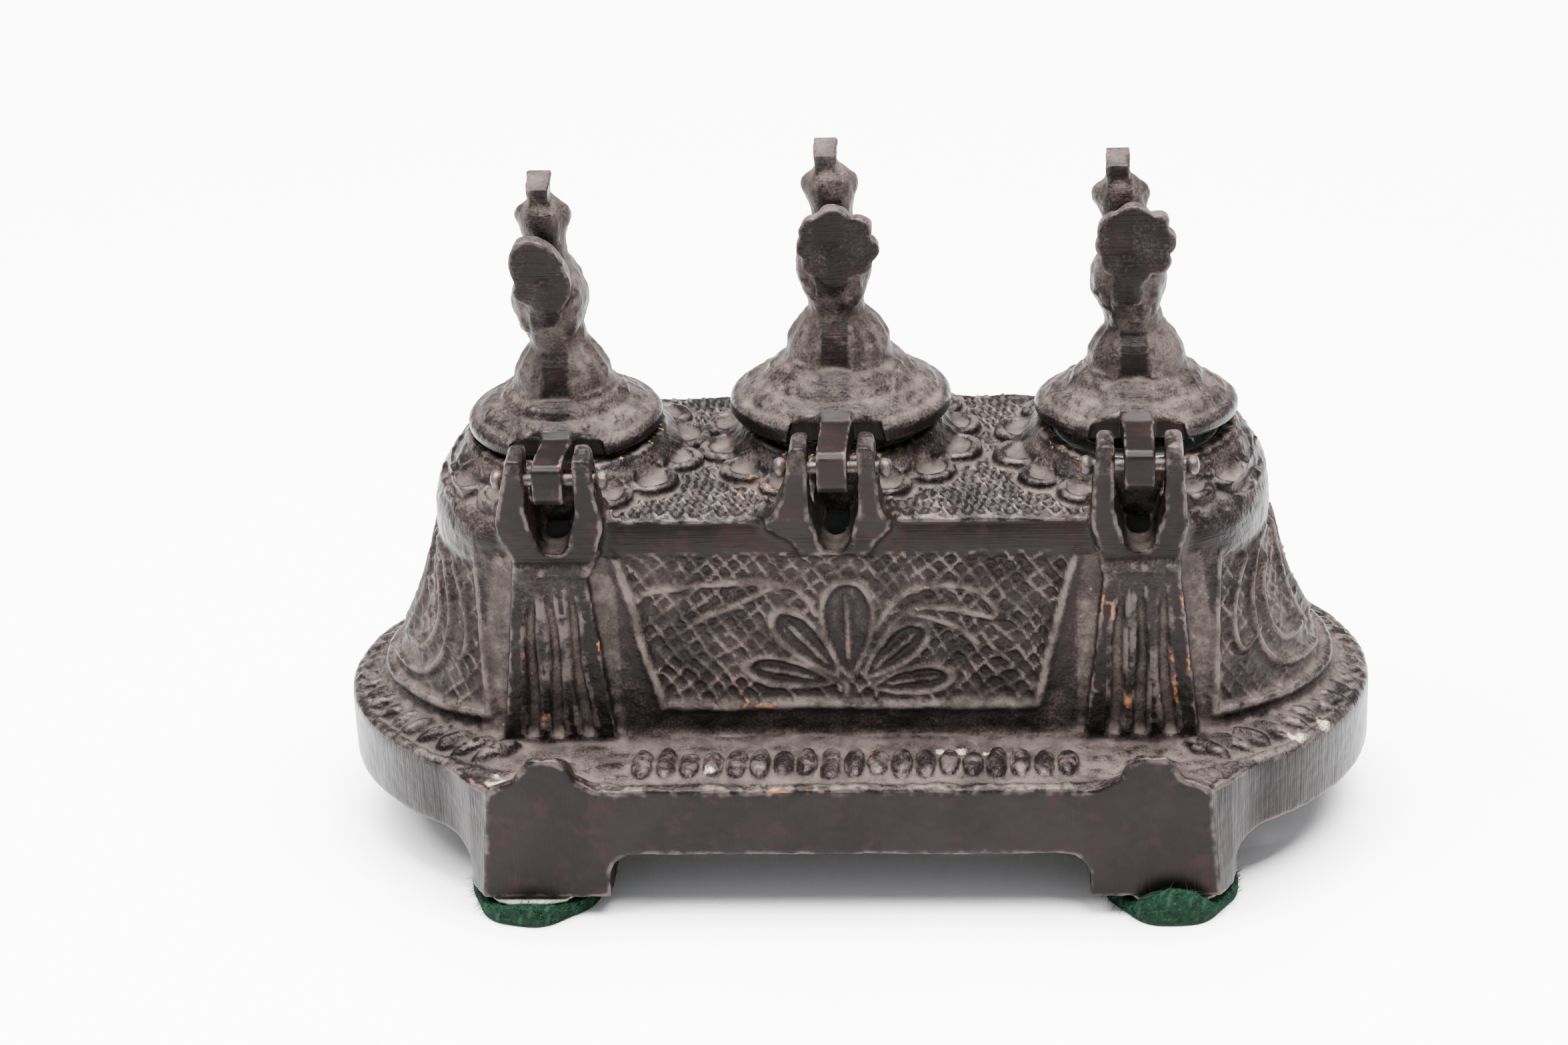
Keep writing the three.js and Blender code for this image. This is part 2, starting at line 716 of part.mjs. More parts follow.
place("stand", stand(), BRONZE);
LIDS.forEach((lid, index) => {
  place(`lid_${lid.place}`, lidCasting(index), BRONZE);
  place(`hinge_pin_${lid.place}`, hingePin(index), PIN_BRASS);
  place(`ink_pot_${lid.place}`, inkPot(index), GLASS);
});
for (const [ySide, depthName] of [
  [-1, "front"],
  [1, "rear"],
]) {
  for (const [side, sideName] of [
    [-1, "left"],
    [1, "right"],
  ]) {
    const x = side * (FOOT_X + PAD_OUTBOARD);
    const y = ySide * (FLANGE_HALF_DEPTH - FOOT_DEPTH / 2);
    const label = `${depthName}_${sideName}`;
    place(`felt_pad_${label}`, disc(PAD_RADIUS, 0, FELT_THICKNESS, x, y), FELT);
    place(`pad_backing_${label}`, disc(PAD_RADIUS - 0.6, FELT_THICKNESS + FIT, padTop, x, y), BACKING);
  }
}

export default inkwell;
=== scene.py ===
"""Looks for the cast bronze desk inkwell: the stand, three lids with bird finials, pins, pots and pads.

Shapes are worked out in millimetres and turned into metres when a mesh is made. +Z is up, the writer
sits at -Y, and the lids hinge at +Y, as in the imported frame.
"""

import math

import bmesh
import bpy
import numpy as np
import openvdb
from mathutils import Matrix, Vector


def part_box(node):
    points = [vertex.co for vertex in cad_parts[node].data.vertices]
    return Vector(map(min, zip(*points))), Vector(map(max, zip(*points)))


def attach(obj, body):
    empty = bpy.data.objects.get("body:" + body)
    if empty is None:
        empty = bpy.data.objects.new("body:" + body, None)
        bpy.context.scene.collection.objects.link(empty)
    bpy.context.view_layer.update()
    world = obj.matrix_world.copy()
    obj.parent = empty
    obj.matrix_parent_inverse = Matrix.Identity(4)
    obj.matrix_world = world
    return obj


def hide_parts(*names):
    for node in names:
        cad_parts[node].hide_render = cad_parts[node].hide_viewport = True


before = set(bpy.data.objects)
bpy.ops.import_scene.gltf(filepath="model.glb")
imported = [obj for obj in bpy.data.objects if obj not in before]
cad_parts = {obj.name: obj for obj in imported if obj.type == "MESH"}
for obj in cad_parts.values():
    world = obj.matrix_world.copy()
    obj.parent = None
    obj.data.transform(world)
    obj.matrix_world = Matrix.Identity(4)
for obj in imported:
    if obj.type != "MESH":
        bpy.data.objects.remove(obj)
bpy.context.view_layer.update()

MM = 0.001
FAR = 50.0
TINY = 1e-6
STAND_STEP = 0.34
LID_STEP = 0.25


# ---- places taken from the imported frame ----


def box_mm(node):
    """The lowest and highest corner of a CAD node in millimetres."""
    low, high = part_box(node)
    return np.array(low) / MM, np.array(high) / MM


STAND_LOW, STAND_HIGH = box_mm("stand")
FIT = 0.3
PIN_RADIUS = 0.9
PLACES = ("left", "middle", "right")
BOTH = (-1, 1)
CORNERS = [(side, end) for side in BOTH for end in BOTH]


class Well:
    """One well: where its pot and its hinge pin stand."""

    def __init__(self, place):
        pot_low, pot_high = box_mm("ink_pot_" + place)
        pin_low, pin_high = box_mm("hinge_pin_" + place)
        self.place = place
        self.x, self.y = (pot_low[:2] + pot_high[:2]) / 2
        self.rim = (pot_high[0] - pot_low[0]) / 2
        self.pot_bottom = pot_low[2]
        self.pot_top = pot_high[2]
        self.pin_x, self.pin_y, self.pin_z = (pin_low + pin_high) / 2
        self.pin_half = (pin_high[0] - pin_low[0]) / 2


WELLS = [Well(place) for place in PLACES]

# ---- levels and outlines of the stand ----

FOOT_BOTTOM = STAND_LOW[2]
FOOT_FACE = STAND_HIGH[1]
FLANGE_BOTTOM = FOOT_BOTTOM + 7
FLANGE_TOP = FLANGE_BOTTOM + 11
BELL_TOP = FLANGE_TOP + 35.4
COLLAR_TOP = WELLS[0].pot_top + FIT
LID_SEAT = COLLAR_TOP + FIT
FLANGE_LENGTH = STAND_HIGH[0]
FLANGE_DEPTH = FOOT_FACE - 0.4
FLANGE_CENTRE = 31.0
BELL_FLARE = 11.4
BELL_LENGTH = FLANGE_LENGTH - BELL_FLARE - 3.9
BELL_DEPTH = FLANGE_DEPTH - 14.8
BELL_CENTRE = 46.0
SHOULDER = 4.6
WALL = 4.0
COLLAR_RADIUS = WELLS[0].rim + FIT + 1.9
REAR_FACE = BELL_DEPTH + 1.5
PAD_OUTBOARD = 2.4
FOOT_X = (box_mm("felt_pad_rear_right")[0][0] + box_mm("felt_pad_rear_right")[1][0]) / 2 - PAD_OUTBOARD
FOOT_HALF = 9.3
FOOT_DEPTH = 13.5
PILASTER_X = WELLS[2].x - WELLS[1].x + 2.0
PILASTER_TOP = BELL_TOP - 6.5
PILASTER_HALF = 8.4
PILASTER_TAPER = 3.2
PANEL_BOTTOM = FLANGE_TOP + 6.2
PANEL_TOP = BELL_TOP - 4.4


# ---- random values ----


def lattice_value(i, j, k, seed):
    """A repeatable random value from -1 to 1 for each whole-numbered cell corner."""
    mixed = i * np.uint64(73856093) ^ j * np.uint64(19349663) ^ k * np.uint64(83492791)
    mixed = mixed + np.uint64(seed * 2654435761 + 97)
    mixed = (mixed ^ (mixed >> np.uint64(15))) * np.uint64(0x9E3779B97F4A7C15)
    mixed = (mixed ^ (mixed >> np.uint64(29))) * np.uint64(0xBF58476D1CE4E5B9)
    return (mixed >> np.uint64(40)).astype(np.float32) / np.float32(2**23) - 1


def noise(points, size, seed):
    """Smooth random values from -1 to 1 that change over about the given size in millimetres."""
    place = points / np.asarray(size, np.float32)
    cell = np.floor(place)
    share = (place - cell).astype(np.float32)
    share = share * share * (3 - 2 * share)
    whole = cell.astype(np.int64)
    total = np.zeros(len(points), np.float32)
    for corner in range(8):
        bits = (corner & 1, corner >> 1 & 1, corner >> 2 & 1)
        weight = np.ones(len(points), np.float32)
        for axis in range(3):
            weight *= share[:, axis] if bits[axis] else 1 - share[:, axis]
        keys = [(whole[:, axis] + bits[axis]).astype(np.uint64) for axis in range(3)]
        total += weight * lattice_value(*keys, seed)
    return total


def cloud(points, size, seed):
    """Noise at three sizes added together, from about -1 to 1."""
    total = np.zeros(len(points), np.float32)
    for layer in range(3):
        total += noise(points, size / 2**layer, seed + layer) / 2**layer
    return total / 1.5


def step_up(value, low, high):
    """0 below low, 1 above high, and a smooth rise between."""
    share = np.clip((value - low) / (high - low), 0, 1)
    return share * share * (3 - 2 * share)


def bump(value, width):
    """1 where value is 0, falling off smoothly over the width."""
    return np.exp(-((value / width) ** 2))


# ---- signed distances ----


def smooth_min(a, b, blend):
    """The nearer of two shapes, run together over the blend."""
    if blend <= 0:
        return np.minimum(a, b)
    share = np.maximum(blend - np.abs(a - b), 0) / blend
    return np.minimum(a, b) - share * share * blend * 0.25


def smooth_max(a, b, blend):
    """What two shapes share, its edge rounded over the blend."""
    return -smooth_min(-a, -b, blend)


class Grid:
    """Signed distances in millimetres on a box of voxels, negative inside the metal."""

    def __init__(self, low, high, step):
        self.low = np.array(low, float)
        self.step = step
        count = np.ceil((np.array(high, float) - self.low) / step).astype(int) + 1
        self.field = np.full(count, FAR, np.float32)

    def window(self, low, high, margin):
        first = np.floor((np.array(low, float) - margin - self.low) / self.step).astype(int)
        last = np.ceil((np.array(high, float) + margin - self.low) / self.step).astype(int) + 1
        first = np.clip(first, 0, self.field.shape)
        last = np.clip(last, 0, self.field.shape)
        spans = tuple(slice(a, b) for a, b in zip(first, last))
        x, y, z = (
            (self.low[axis] + self.step * np.arange(first[axis], last[axis])).astype(np.float32)
            for axis in range(3)
        )
        return spans, x[:, None, None], y[None, :, None], z[None, None, :]

    def add(self, low, high, shape, blend=0.0):
        spans, x, y, z = self.window(low, high, blend + 1.5)
        self.field[spans] = smooth_min(self.field[spans], shape(x, y, z), blend)

    def cut(self, low, high, shape, blend=0.0):
        spans, x, y, z = self.window(low, high, blend + 1.5)
        self.field[spans] = smooth_max(self.field[spans], -shape(x, y, z), blend)


def round_distance(places, radii):
    """Distance to an ellipse or a stretched ball about 0, from one place value for each radius."""
    near = np.sqrt(sum((place / radius) ** 2 for place, radius in zip(places, radii)))
    slope = np.sqrt(sum((place / radius**2) ** 2 for place, radius in zip(places, radii)))
    return near * (near - 1) / np.maximum(slope, TINY)


def oval_outline(x, y, length, depth, centre):
    """Distance to a long outline whose two ends are half ellipses."""
    beyond = np.maximum(np.abs(x) - centre, 0)
    return round_distance((beyond, y), (length - centre, depth))


def ellipsoid(centre, radii, pitch=0.0):
    """A ball stretched by its three radii and pitched about X, in degrees."""
    c, s = math.cos(math.radians(pitch)), math.sin(math.radians(pitch))

    def distance(x, y, z):
        u, v, w = x - centre[0], y - centre[1], z - centre[2]
        return round_distance((u, v * c + w * s, w * c - v * s), radii)

    return distance


def segment_gap(u, v, start, finish):
    """Squared distance from each place to one straight piece of a line."""
    du, dv = finish[0] - start[0], finish[1] - start[1]
    share = np.clip(((u - start[0]) * du + (v - start[1]) * dv) / (du * du + dv * dv + 1e-9), 0, 1)
    return (u - start[0] - share * du) ** 2 + (v - start[1] - share * dv) ** 2


def outline_distance(u, v, points):
    """Signed distance to a closed outline, negative inside."""
    u, v = np.broadcast_arrays(u, v)
    nearest = np.full(u.shape, 1e9, np.float32)
    inside = np.zeros(u.shape, bool)
    for start, finish in zip(points, points[1:] + points[:1]):
        nearest = np.minimum(nearest, segment_gap(u, v, start, finish))
        rise = finish[1] - start[1]
        if rise:
            crosses = (start[1] > v) != (finish[1] > v)
            inside ^= crosses & (u < start[0] + (v - start[1]) * (finish[0] - start[0]) / rise)
    return np.where(inside, -1, 1) * np.sqrt(nearest)


def prism_y(points, y_from, y_to):
    """An outline drawn in X and Z, carried from y_from to y_to."""
    middle, half = (y_from + y_to) / 2, abs(y_to - y_from) / 2

    def distance(x, y, z):
        flat = outline_distance(x, z, points)
        return np.maximum(flat, np.abs(y - middle) - half)

    return distance


def prism_x(points, x, width):
    """An outline drawn in Y and Z, carried along X about its middle."""

    def distance(across, y, z):
        flat = outline_distance(y, z, points)
        return np.maximum(flat, np.abs(across - x) - width / 2)

    return distance


def turned(profile, x, y):
    """A shape turned about a vertical axis from an outline of radius and height."""

    def distance(across, along, z):
        radius = np.sqrt((across - x) ** 2 + (along - y) ** 2)
        reach = np.arange(0, float(radius.max()) + 0.2, 0.1, dtype=np.float32)
        table = outline_distance(reach[:, None], z[0], profile)
        index = np.clip(radius * 10, 0, len(reach) - 2)
        low = index.astype(int)
        share = index - low
        return table[low[:, :, 0]] * (1 - share) + table[low[:, :, 0] + 1] * share

    return distance


def rod_x(radius, x, y, z, length):
    """A round rod along X about its middle."""

    def distance(across, along, up):
        round_gap = np.sqrt((along - y) ** 2 + (up - z) ** 2) - radius
        return np.maximum(round_gap, np.abs(across - x) - length / 2)

    return distance


# ---- surfaces ----


class Skin:
    """A closed surface of quads, with the sums over neighbours that smoothing and shading need."""

    def __init__(self, points, quads):
        self.points = points
        self.quads = quads
        self.start = quads.ravel()
        self.end = np.roll(quads, -1, axis=1).ravel()
        self.valence = np.maximum(np.bincount(self.start, minlength=len(points)), 1)

    def mean(self, values):
        count = len(self.points)
        columns = [np.bincount(self.start, values[self.end, i], count) for i in range(values.shape[1])]
        return np.stack(columns, 1) / self.valence[:, None]

    def relax(self, rounds, share=0.5):
        for _ in range(rounds):
            self.points = self.points + share * (self.mean(self.points) - self.points)

    def normals(self):
        a, b, c, d = (self.points[self.quads[:, i]] for i in range(4))
        face = np.cross(c - a, d - b)
        total = np.zeros_like(self.points)
        for corner in range(4):
            for axis in range(3):
                total[:, axis] += np.bincount(self.quads[:, corner], face[:, axis], len(self.points))
        return total / np.maximum(np.linalg.norm(total, axis=1, keepdims=True), 1e-9)

    def hollowness(self, rounds):
        """How far each point lies below its smoothed surroundings, in millimetres."""
        smooth = self.points
        for _ in range(rounds):
            smooth = self.mean(smooth)
        return np.einsum("ij,ij->i", smooth - self.points, self.normals())

    def soften(self, values, rounds):
        column = values[:, None]
        for _ in range(rounds):
            column = self.mean(column)
        return column[:, 0]


def skin_of(grid):
    """The surface where a grid's distance is 0, with its quads facing out."""
    band = 3 * grid.step
    volume = openvdb.FloatGrid(band)
    volume.copyFromArray(np.clip(grid.field, -band, band))
    points, quads = volume.convertToQuads(0.0)
    points = grid.low + np.asarray(points, float) * grid.step
    quads = np.asarray(quads, np.int64)
    a, b, c = (points[quads[:, i]] for i in range(3))
    if np.einsum("ij,ij->i", a, np.cross(b, c)).sum() < 0:
        quads = quads[:, ::-1]
    return Skin(points, np.ascontiguousarray(quads))


def make_object(name, points, faces, material, marks=None):
    """A smooth-shaded Blender object from points in millimetres, with one value per point for each mark."""
    faces = np.asarray(faces)
    sides = faces.shape[1]
    mesh = bpy.data.meshes.new(name)
    mesh.vertices.add(len(points))
    mesh.vertices.foreach_set("co", (np.asarray(points) * MM).astype(np.float32).ravel())
    mesh.loops.add(faces.size)
    mesh.loops.foreach_set("vertex_index", faces.astype(np.int32).ravel())
    mesh.polygons.add(len(faces))
    mesh.polygons.foreach_set("loop_start", np.arange(0, faces.size, sides, dtype=np.int32))
    mesh.polygons.foreach_set("use_smooth", np.ones(len(faces), bool))
    mesh.update(calc_edges=True)
    for mark, values in (marks or {}).items():
        layer = mesh.attributes.new(mark, "FLOAT", "POINT")
        layer.data.foreach_set("value", np.asarray(values, np.float32))
    mesh.materials.append(material)
    piece = bpy.data.objects.new(name, mesh)
    bpy.context.scene.collection.objects.link(piece)
    return piece


def settle(piece, body, node):
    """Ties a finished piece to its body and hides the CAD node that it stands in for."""
    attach(piece, body)
    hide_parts(node)


# ---- the stand: solid shape ----


def bell_outline(x, y, z, inset):
    """Distance to the bell's side at each height, flaring at its two ends."""
    rise = BELL_TOP - SHOULDER - FLANGE_TOP
    share = np.clip((z - FLANGE_TOP) / rise, 0, 1)
    over = np.clip((z - (BELL_TOP - SHOULDER)) / SHOULDER, 0, 1)
    inward = SHOULDER * (1 - np.sqrt(1 - over**2))
    length = BELL_LENGTH + BELL_FLARE * (1 - share) ** 1.6 - inward - inset
    depth = BELL_DEPTH - inward * 0.3 - inset
    centre = BELL_CENTRE - inward
    return oval_outline(x, y, length, depth, centre)


def bell(x, y, z):
    """The solid bell that stands on the flange."""
    side = bell_outline(x, y, z, 0.0)
    return smooth_max(side * 0.9, np.maximum(z - BELL_TOP, FLANGE_TOP - 3 - z), 1.0)


def flange(x, y, z):
    """The long oval plate under the bell."""
    side = oval_outline(x, y, FLANGE_LENGTH, FLANGE_DEPTH, FLANGE_CENTRE)
    return smooth_max(side, np.maximum(z - FLANGE_TOP, FLANGE_BOTTOM - z), 0.9)


def hollow(x, y, z):
    """The empty inside of the bell and of the skirt under the flange."""
    inner = np.maximum(bell_outline(x, y, z, WALL), z - (BELL_TOP - WALL))
    skirt = oval_outline(x, y, FLANGE_LENGTH - 5, FLANGE_DEPTH - 5, FLANGE_CENTRE)
    skirt = np.maximum(skirt, z - (FLANGE_TOP - 4.6))
    return smooth_min(inner, skirt, 2.5)


def trim_long_sides(grid, beyond, blend):
    """Cuts away what stands beyond a limit along both long sides of the flange."""
    for end in BOTH:
        y_low, y_high = sorted((end * 24, end * 44))
        low, high = (-72, y_low, FOOT_BOTTOM - 4), (72, y_high, FLANGE_TOP + 6)
        grid.cut(low, high, lambda x, y, z: beyond(end * y, z) + 0 * x, blend)


def past_face(outward, height):
    """Negative beyond the plane of the feet's faces."""
    return FOOT_FACE - outward + 0 * height


def add_feet(grid):
    """Four block feet whose outer sides sweep into the flange, each with a small crown."""
    inner, outer, back = FOOT_X - FOOT_HALF, FOOT_X + FOOT_HALF, FOOT_FACE - FOOT_DEPTH
    spread = 1.9
    plan = [
        (inner, FOOT_FACE),
        (outer, FOOT_FACE),
        (outer + spread, FOOT_FACE - 3.2),
        (outer + 2.8, FOOT_FACE - 8),
        (outer + 2.9, back),
        (inner, back),
    ]
    for side, end in CORNERS:

        def leg(x, y, z, side=side, end=end):
            rise = (z - FOOT_BOTTOM) / (FLANGE_TOP - FOOT_BOTTOM)
            corner = spread * rise * np.clip(1 - (FOOT_FACE - end * y) / 5, 0, 1)
            flat = outline_distance(side * x + corner * (side * x > FOOT_X), end * y, plan)
            return np.maximum(flat, np.maximum(FOOT_BOTTOM - z, z - FLANGE_TOP))

        y_low, y_high = sorted((end * back, end * FOOT_FACE))
        low = (side * FOOT_X - FOOT_HALF - 6, y_low, FOOT_BOTTOM)
        high = (side * FOOT_X + FOOT_HALF + 6, y_high, FLANGE_TOP)
        grid.add(low, high, leg, 4.0)
    trim_long_sides(grid, lambda outward, height: FLANGE_TOP - height + 0 * outward, 0.6)
    trim_long_sides(grid, past_face, 0.3)
    trim_long_sides(grid, lambda outward, height: height - FOOT_BOTTOM + 0 * outward, 0.3)
    for side, end in CORNERS:
        add_crown(grid, side, end)
    trim_long_sides(grid, past_face, 0.0)


# One foot's crown, outboard side first: across from its middle and up from the flange's top.
CROWN = ((8.4, -4), (8.4, -0.6), (7.6, 0.5), (4.6, 1.7), (3.1, 3.9), (2.1, 5.1))
CROWN += ((-1.9, 5.1), (-3.0, 4.2), (-4.3, 1.9), (-6.6, 0.4), (-8.0, -0.6), (-8.0, -4))


def add_crown(grid, side, end):
    """The pointed gable that stands over a foot at the flange's edge and slopes away behind."""
    centre = FOOT_X - 0.7
    wall = 1.2
    gable = [(side * (centre + u), FLANGE_TOP + w) for u, w in CROWN]
    back, face = end * (FOOT_FACE - wall), end * FOOT_FACE
    y_low, y_high = sorted((end * (FOOT_FACE - 9), face))
    low = (side * centre - 9, y_low, FLANGE_TOP - 5)
    high = (side * centre + 9, y_high, FLANGE_TOP + 5.1)
    solid = prism_y(gable, end * (FOOT_FACE - 8), face)

    def sloping(x, y, z):
        return solid(x, y, z + np.maximum(FOOT_FACE - wall - end * y, 0) * 0.62)

    grid.add(low, high, sloping, 0.9)
    grid.add(low, high, prism_y(gable, back, face), 0.3)


def add_pilasters(grid):
    """The tapering blocks that the fan flutes are cut into."""
    foot, head = PILASTER_HALF, PILASTER_HALF - PILASTER_TAPER
    bottom = FLANGE_TOP - 0.6
    for side, end in CORNERS:
        shape = [(-foot, bottom), (foot, bottom), (head, PILASTER_TOP), (-head, PILASTER_TOP)]
        shape = [(side * PILASTER_X + u, w) for u, w in shape]
        inner, outer = sorted((end * (BELL_DEPTH - 2), end * (BELL_DEPTH + 1.4)))
        low = (side * PILASTER_X - 9, inner, FLANGE_TOP - 1)
        high = (side * PILASTER_X + 9, outer, PILASTER_TOP)
        grid.add(low, high, prism_y(shape, inner, outer), 0.5)


def add_collars(grid):
    """The ring that each lid rests on, spreading into the bell's top."""
    for well in WELLS:
        mound = [(0, BELL_TOP - 2), (COLLAR_RADIUS + 4.4, BELL_TOP - 2)]
        mound += [(COLLAR_RADIUS + 3.2, BELL_TOP + 0.2), (COLLAR_RADIUS + 1.5, BELL_TOP + 2.4)]
        mound += [(COLLAR_RADIUS + 0.5, COLLAR_TOP - 0.9), (COLLAR_RADIUS, COLLAR_TOP), (0, COLLAR_TOP)]
        reach = COLLAR_RADIUS + 5
        low = (well.x - reach, well.y - reach, BELL_TOP - 2)
        high = (well.x + reach, well.y + reach, COLLAR_TOP)
        grid.add(low, high, turned(mound, well.x, well.y), 1.2)


LOBES = 14
LOBE_REACH = COLLAR_RADIUS + 2.7


def petal_gap(x, y):
    """Distance to the scalloped edge of the nearest rosette of petals, negative inside it."""
    gap = np.full(np.broadcast(x, y).shape, FAR)
    for well in WELLS:
        gap = np.minimum(gap, np.sqrt((x - well.x) ** 2 + (y - well.y) ** 2) - LOBE_REACH)
        for index in range(LOBES):
            angle = math.radians(12) + 2 * math.pi * index / LOBES
            px = well.x + LOBE_REACH * math.cos(angle)
            py = well.y + LOBE_REACH * math.sin(angle)
            size = 3.75 + 0.25 * math.sin(index * 2.3 + well.x)
            gap = np.minimum(gap, np.sqrt((x - px) ** 2 + (y - py) ** 2) - size)
    return gap


def add_lobes(grid):
    """A low rosette of round petals about each well, kept inside the bell's top."""

    def rosettes(x, y, z):
        inside = bell_outline(x, y, 0 * z + BELL_TOP - 3, 2.2)
        return np.maximum(np.maximum(petal_gap(x, y), inside), np.abs(z - BELL_TOP) - 1.1)

    reach = LOBE_REACH + 5
    for well in WELLS:
        low = (well.x - reach, well.y - reach, BELL_TOP - 1)
        high = (well.x + reach, well.y + reach, BELL_TOP + 1.2)
        grid.add(low, high, rosettes, 0.5)


SLOT_WIDTH = 7.0
EAR_DEPTH = 5.8
SLOT_FLOOR = BELL_TOP - 4.4

# The outer edge of each ear, as (distance from the hinge's middle, height over the bell's top), from
# its foot up to its knee: first towards -X, then towards +X.
EAR_EDGES = {
    "right": (
        ((5.2, -7.1), (6.2, -4.0), (7.3, -0.6), (7.4, 1.0), (6.7, 4.4)),
        ((5.2, -7.1), (6.2, -4.4), (7.5, -1.6), (7.9, 1.2), (7.2, 4.6)),
    ),
    "middle": (
        ((4.2, -4.4), (5.4, -2.4), (7.6, -0.6), (8.0, 0.4), (7.0, 1.9), (6.5, 4.6)),
        ((4.2, -4.4), (5.8, -2.2), (9.4, -0.4), (9.8, 0.4), (8.4, 2.0), (7.1, 5.4)),
    ),
    "left": (
        ((5.2, -7.1), (6.0, -3.6), (6.9, -0.4), (6.7, 1.0), (6.5, 4.6)),
        ((5.2, -7.1), (5.6, -4.0), (6.7, -0.8), (6.8, 1.0), (6.6, 4.6)),
    ),
}


def add_ears(grid):
    """Two upright ears at each hinge. The middle pair sinks into the bell's lip at its foot."""
    for well in WELLS:
        top = well.pin_z + 4.2
        half = SLOT_WIDTH / 2 + 2.9
        left, right = EAR_EDGES[well.place]
        shape = [(u, BELL_TOP + w) for u, w in right]
        shape += [(half - 0.5, top - 0.5), (half - 1.0, top)]
        shape += [(1.0 - half, top), (0.5 - half, top - 0.5)]
        shape += [(-u, BELL_TOP + w) for u, w in reversed(left)]
        shape = [(well.pin_x + u, w) for u, w in shape]
        low = (well.pin_x - 11, REAR_FACE - EAR_DEPTH, BELL_TOP - 7.1)
        high = (well.pin_x + 11, REAR_FACE, top)
        sunk = 1.15 if well.place == "middle" else 0.0

        def horns(x, y, z, shape=shape, sunk=sunk):
            face = REAR_FACE - sunk * step_up(BELL_TOP - z, -1.5, 2.0)
            depth = np.maximum(REAR_FACE - EAR_DEPTH - y, y - face)
            return np.maximum(outline_distance(x, z, shape), depth)

        grid.add(low, high, horns, 1.6 + sunk)


POT_LIP = 1.6


def cut_wells(grid):
    """The stepped bores that the pots stand in, the hinge slots and the holes for the pins."""
    for well in WELLS:
        bore = well.rim - POT_LIP + FIT
        recess = well.rim + FIT
        ledge = COLLAR_TOP - POT_LIP - 2 * FIT
        profile = [
            (0, BELL_TOP - 2 * WALL),
            (bore, BELL_TOP - 2 * WALL),
            (bore, ledge),
            (recess, ledge),
            (recess, COLLAR_TOP + 2),
            (0, COLLAR_TOP + 2),
        ]
        low = (well.x - recess, well.y - recess, BELL_TOP - 2 * WALL)
        high = (well.x + recess, well.y + recess, COLLAR_TOP + 2)
        grid.cut(low, high, turned(profile, well.x, well.y))
        cut_slot(grid, well)
        hole = rod_x(PIN_RADIUS + FIT, well.pin_x, well.pin_y, well.pin_z, 22)
        low = (well.pin_x - 11, well.pin_y - 2, well.pin_z - 2)
        high = (well.pin_x + 11, well.pin_y + 2, well.pin_z + 2)
        grid.cut(low, high, hole)


def cut_slot(grid, well):
    """The U-shaped slot between a hinge's two ears."""
    foot = 2.3
    half = SLOT_WIDTH / 2
    arc = [math.radians(180 + 22.5 * i) for i in range(9)]
    shape = [(foot * math.cos(a), SLOT_FLOOR + foot + foot * math.sin(a)) for a in arc]
    shape += [(half, BELL_TOP + 2.3), (half, well.pin_z + 6)]
    shape += [(-half, well.pin_z + 6), (-half, BELL_TOP + 2.3)]
    shape = [(well.pin_x + u, w) for u, w in shape]
    near = well.y + COLLAR_RADIUS + FIT
    low = (well.pin_x - half, near, SLOT_FLOOR)
    high = (well.pin_x + half, REAR_FACE + 2, well.pin_z + 6)
    grid.cut(low, high, prism_y(shape, near, REAR_FACE + 2), 0.5)


def add_beads(grid):
    """Worn beads along the straight sides of the flange and gadroons round its two ends."""
    pitch = 3.4
    for end in BOTH:
        for index in range(-9, 10):
            x = index * pitch - 0.9
            y = end * (28.6 + 0.25 * math.sin(index * 2.1))
            size = (1.55, 3.7 + 0.4 * math.sin(index * 1.7), 1.3 + 0.2 * math.cos(index * 2.9))
            shape = ellipsoid((x, y, FLANGE_TOP + 0.05), size)
            low, high = (x - 2, y - 4.4, FLANGE_TOP - 1), (x + 2, y + 4.4, FLANGE_TOP + 1.7)
            grid.add(low, high, shape, 0.45)
    for side in BOTH:
        for index in range(-13, 14):
            angle = math.radians(index * 5.4)
            x = side * (FLANGE_CENTRE + (FLANGE_LENGTH - FLANGE_CENTRE - 5.0) * math.cos(angle))
            y = (FLANGE_DEPTH - 6.2) * math.sin(angle)
            if abs(x) < FOOT_X + 5:
                continue
            add_gadroon(grid, x, y, math.atan2(y * 1.5, x), index)


def add_gadroon(grid, x, y, heading, index):
    """One bead of an end, long along the heading."""
    c, s = math.cos(heading), math.sin(heading)
    long, wide = 3.7 + 0.3 * math.sin(index * 1.9), 1.5
    round_ball = ellipsoid((0, 0, 0), (long, wide, 1.7))

    def distance(px, py, pz):
        u, v = px - x, py - y
        return round_ball(u * c + v * s, v * c - u * s, pz - FLANGE_TOP - 0.1)

    grid.add((x - 4, y - 4, FLANGE_TOP - 1), (x + 4, y + 4, FLANGE_TOP + 2), distance, 0.6)


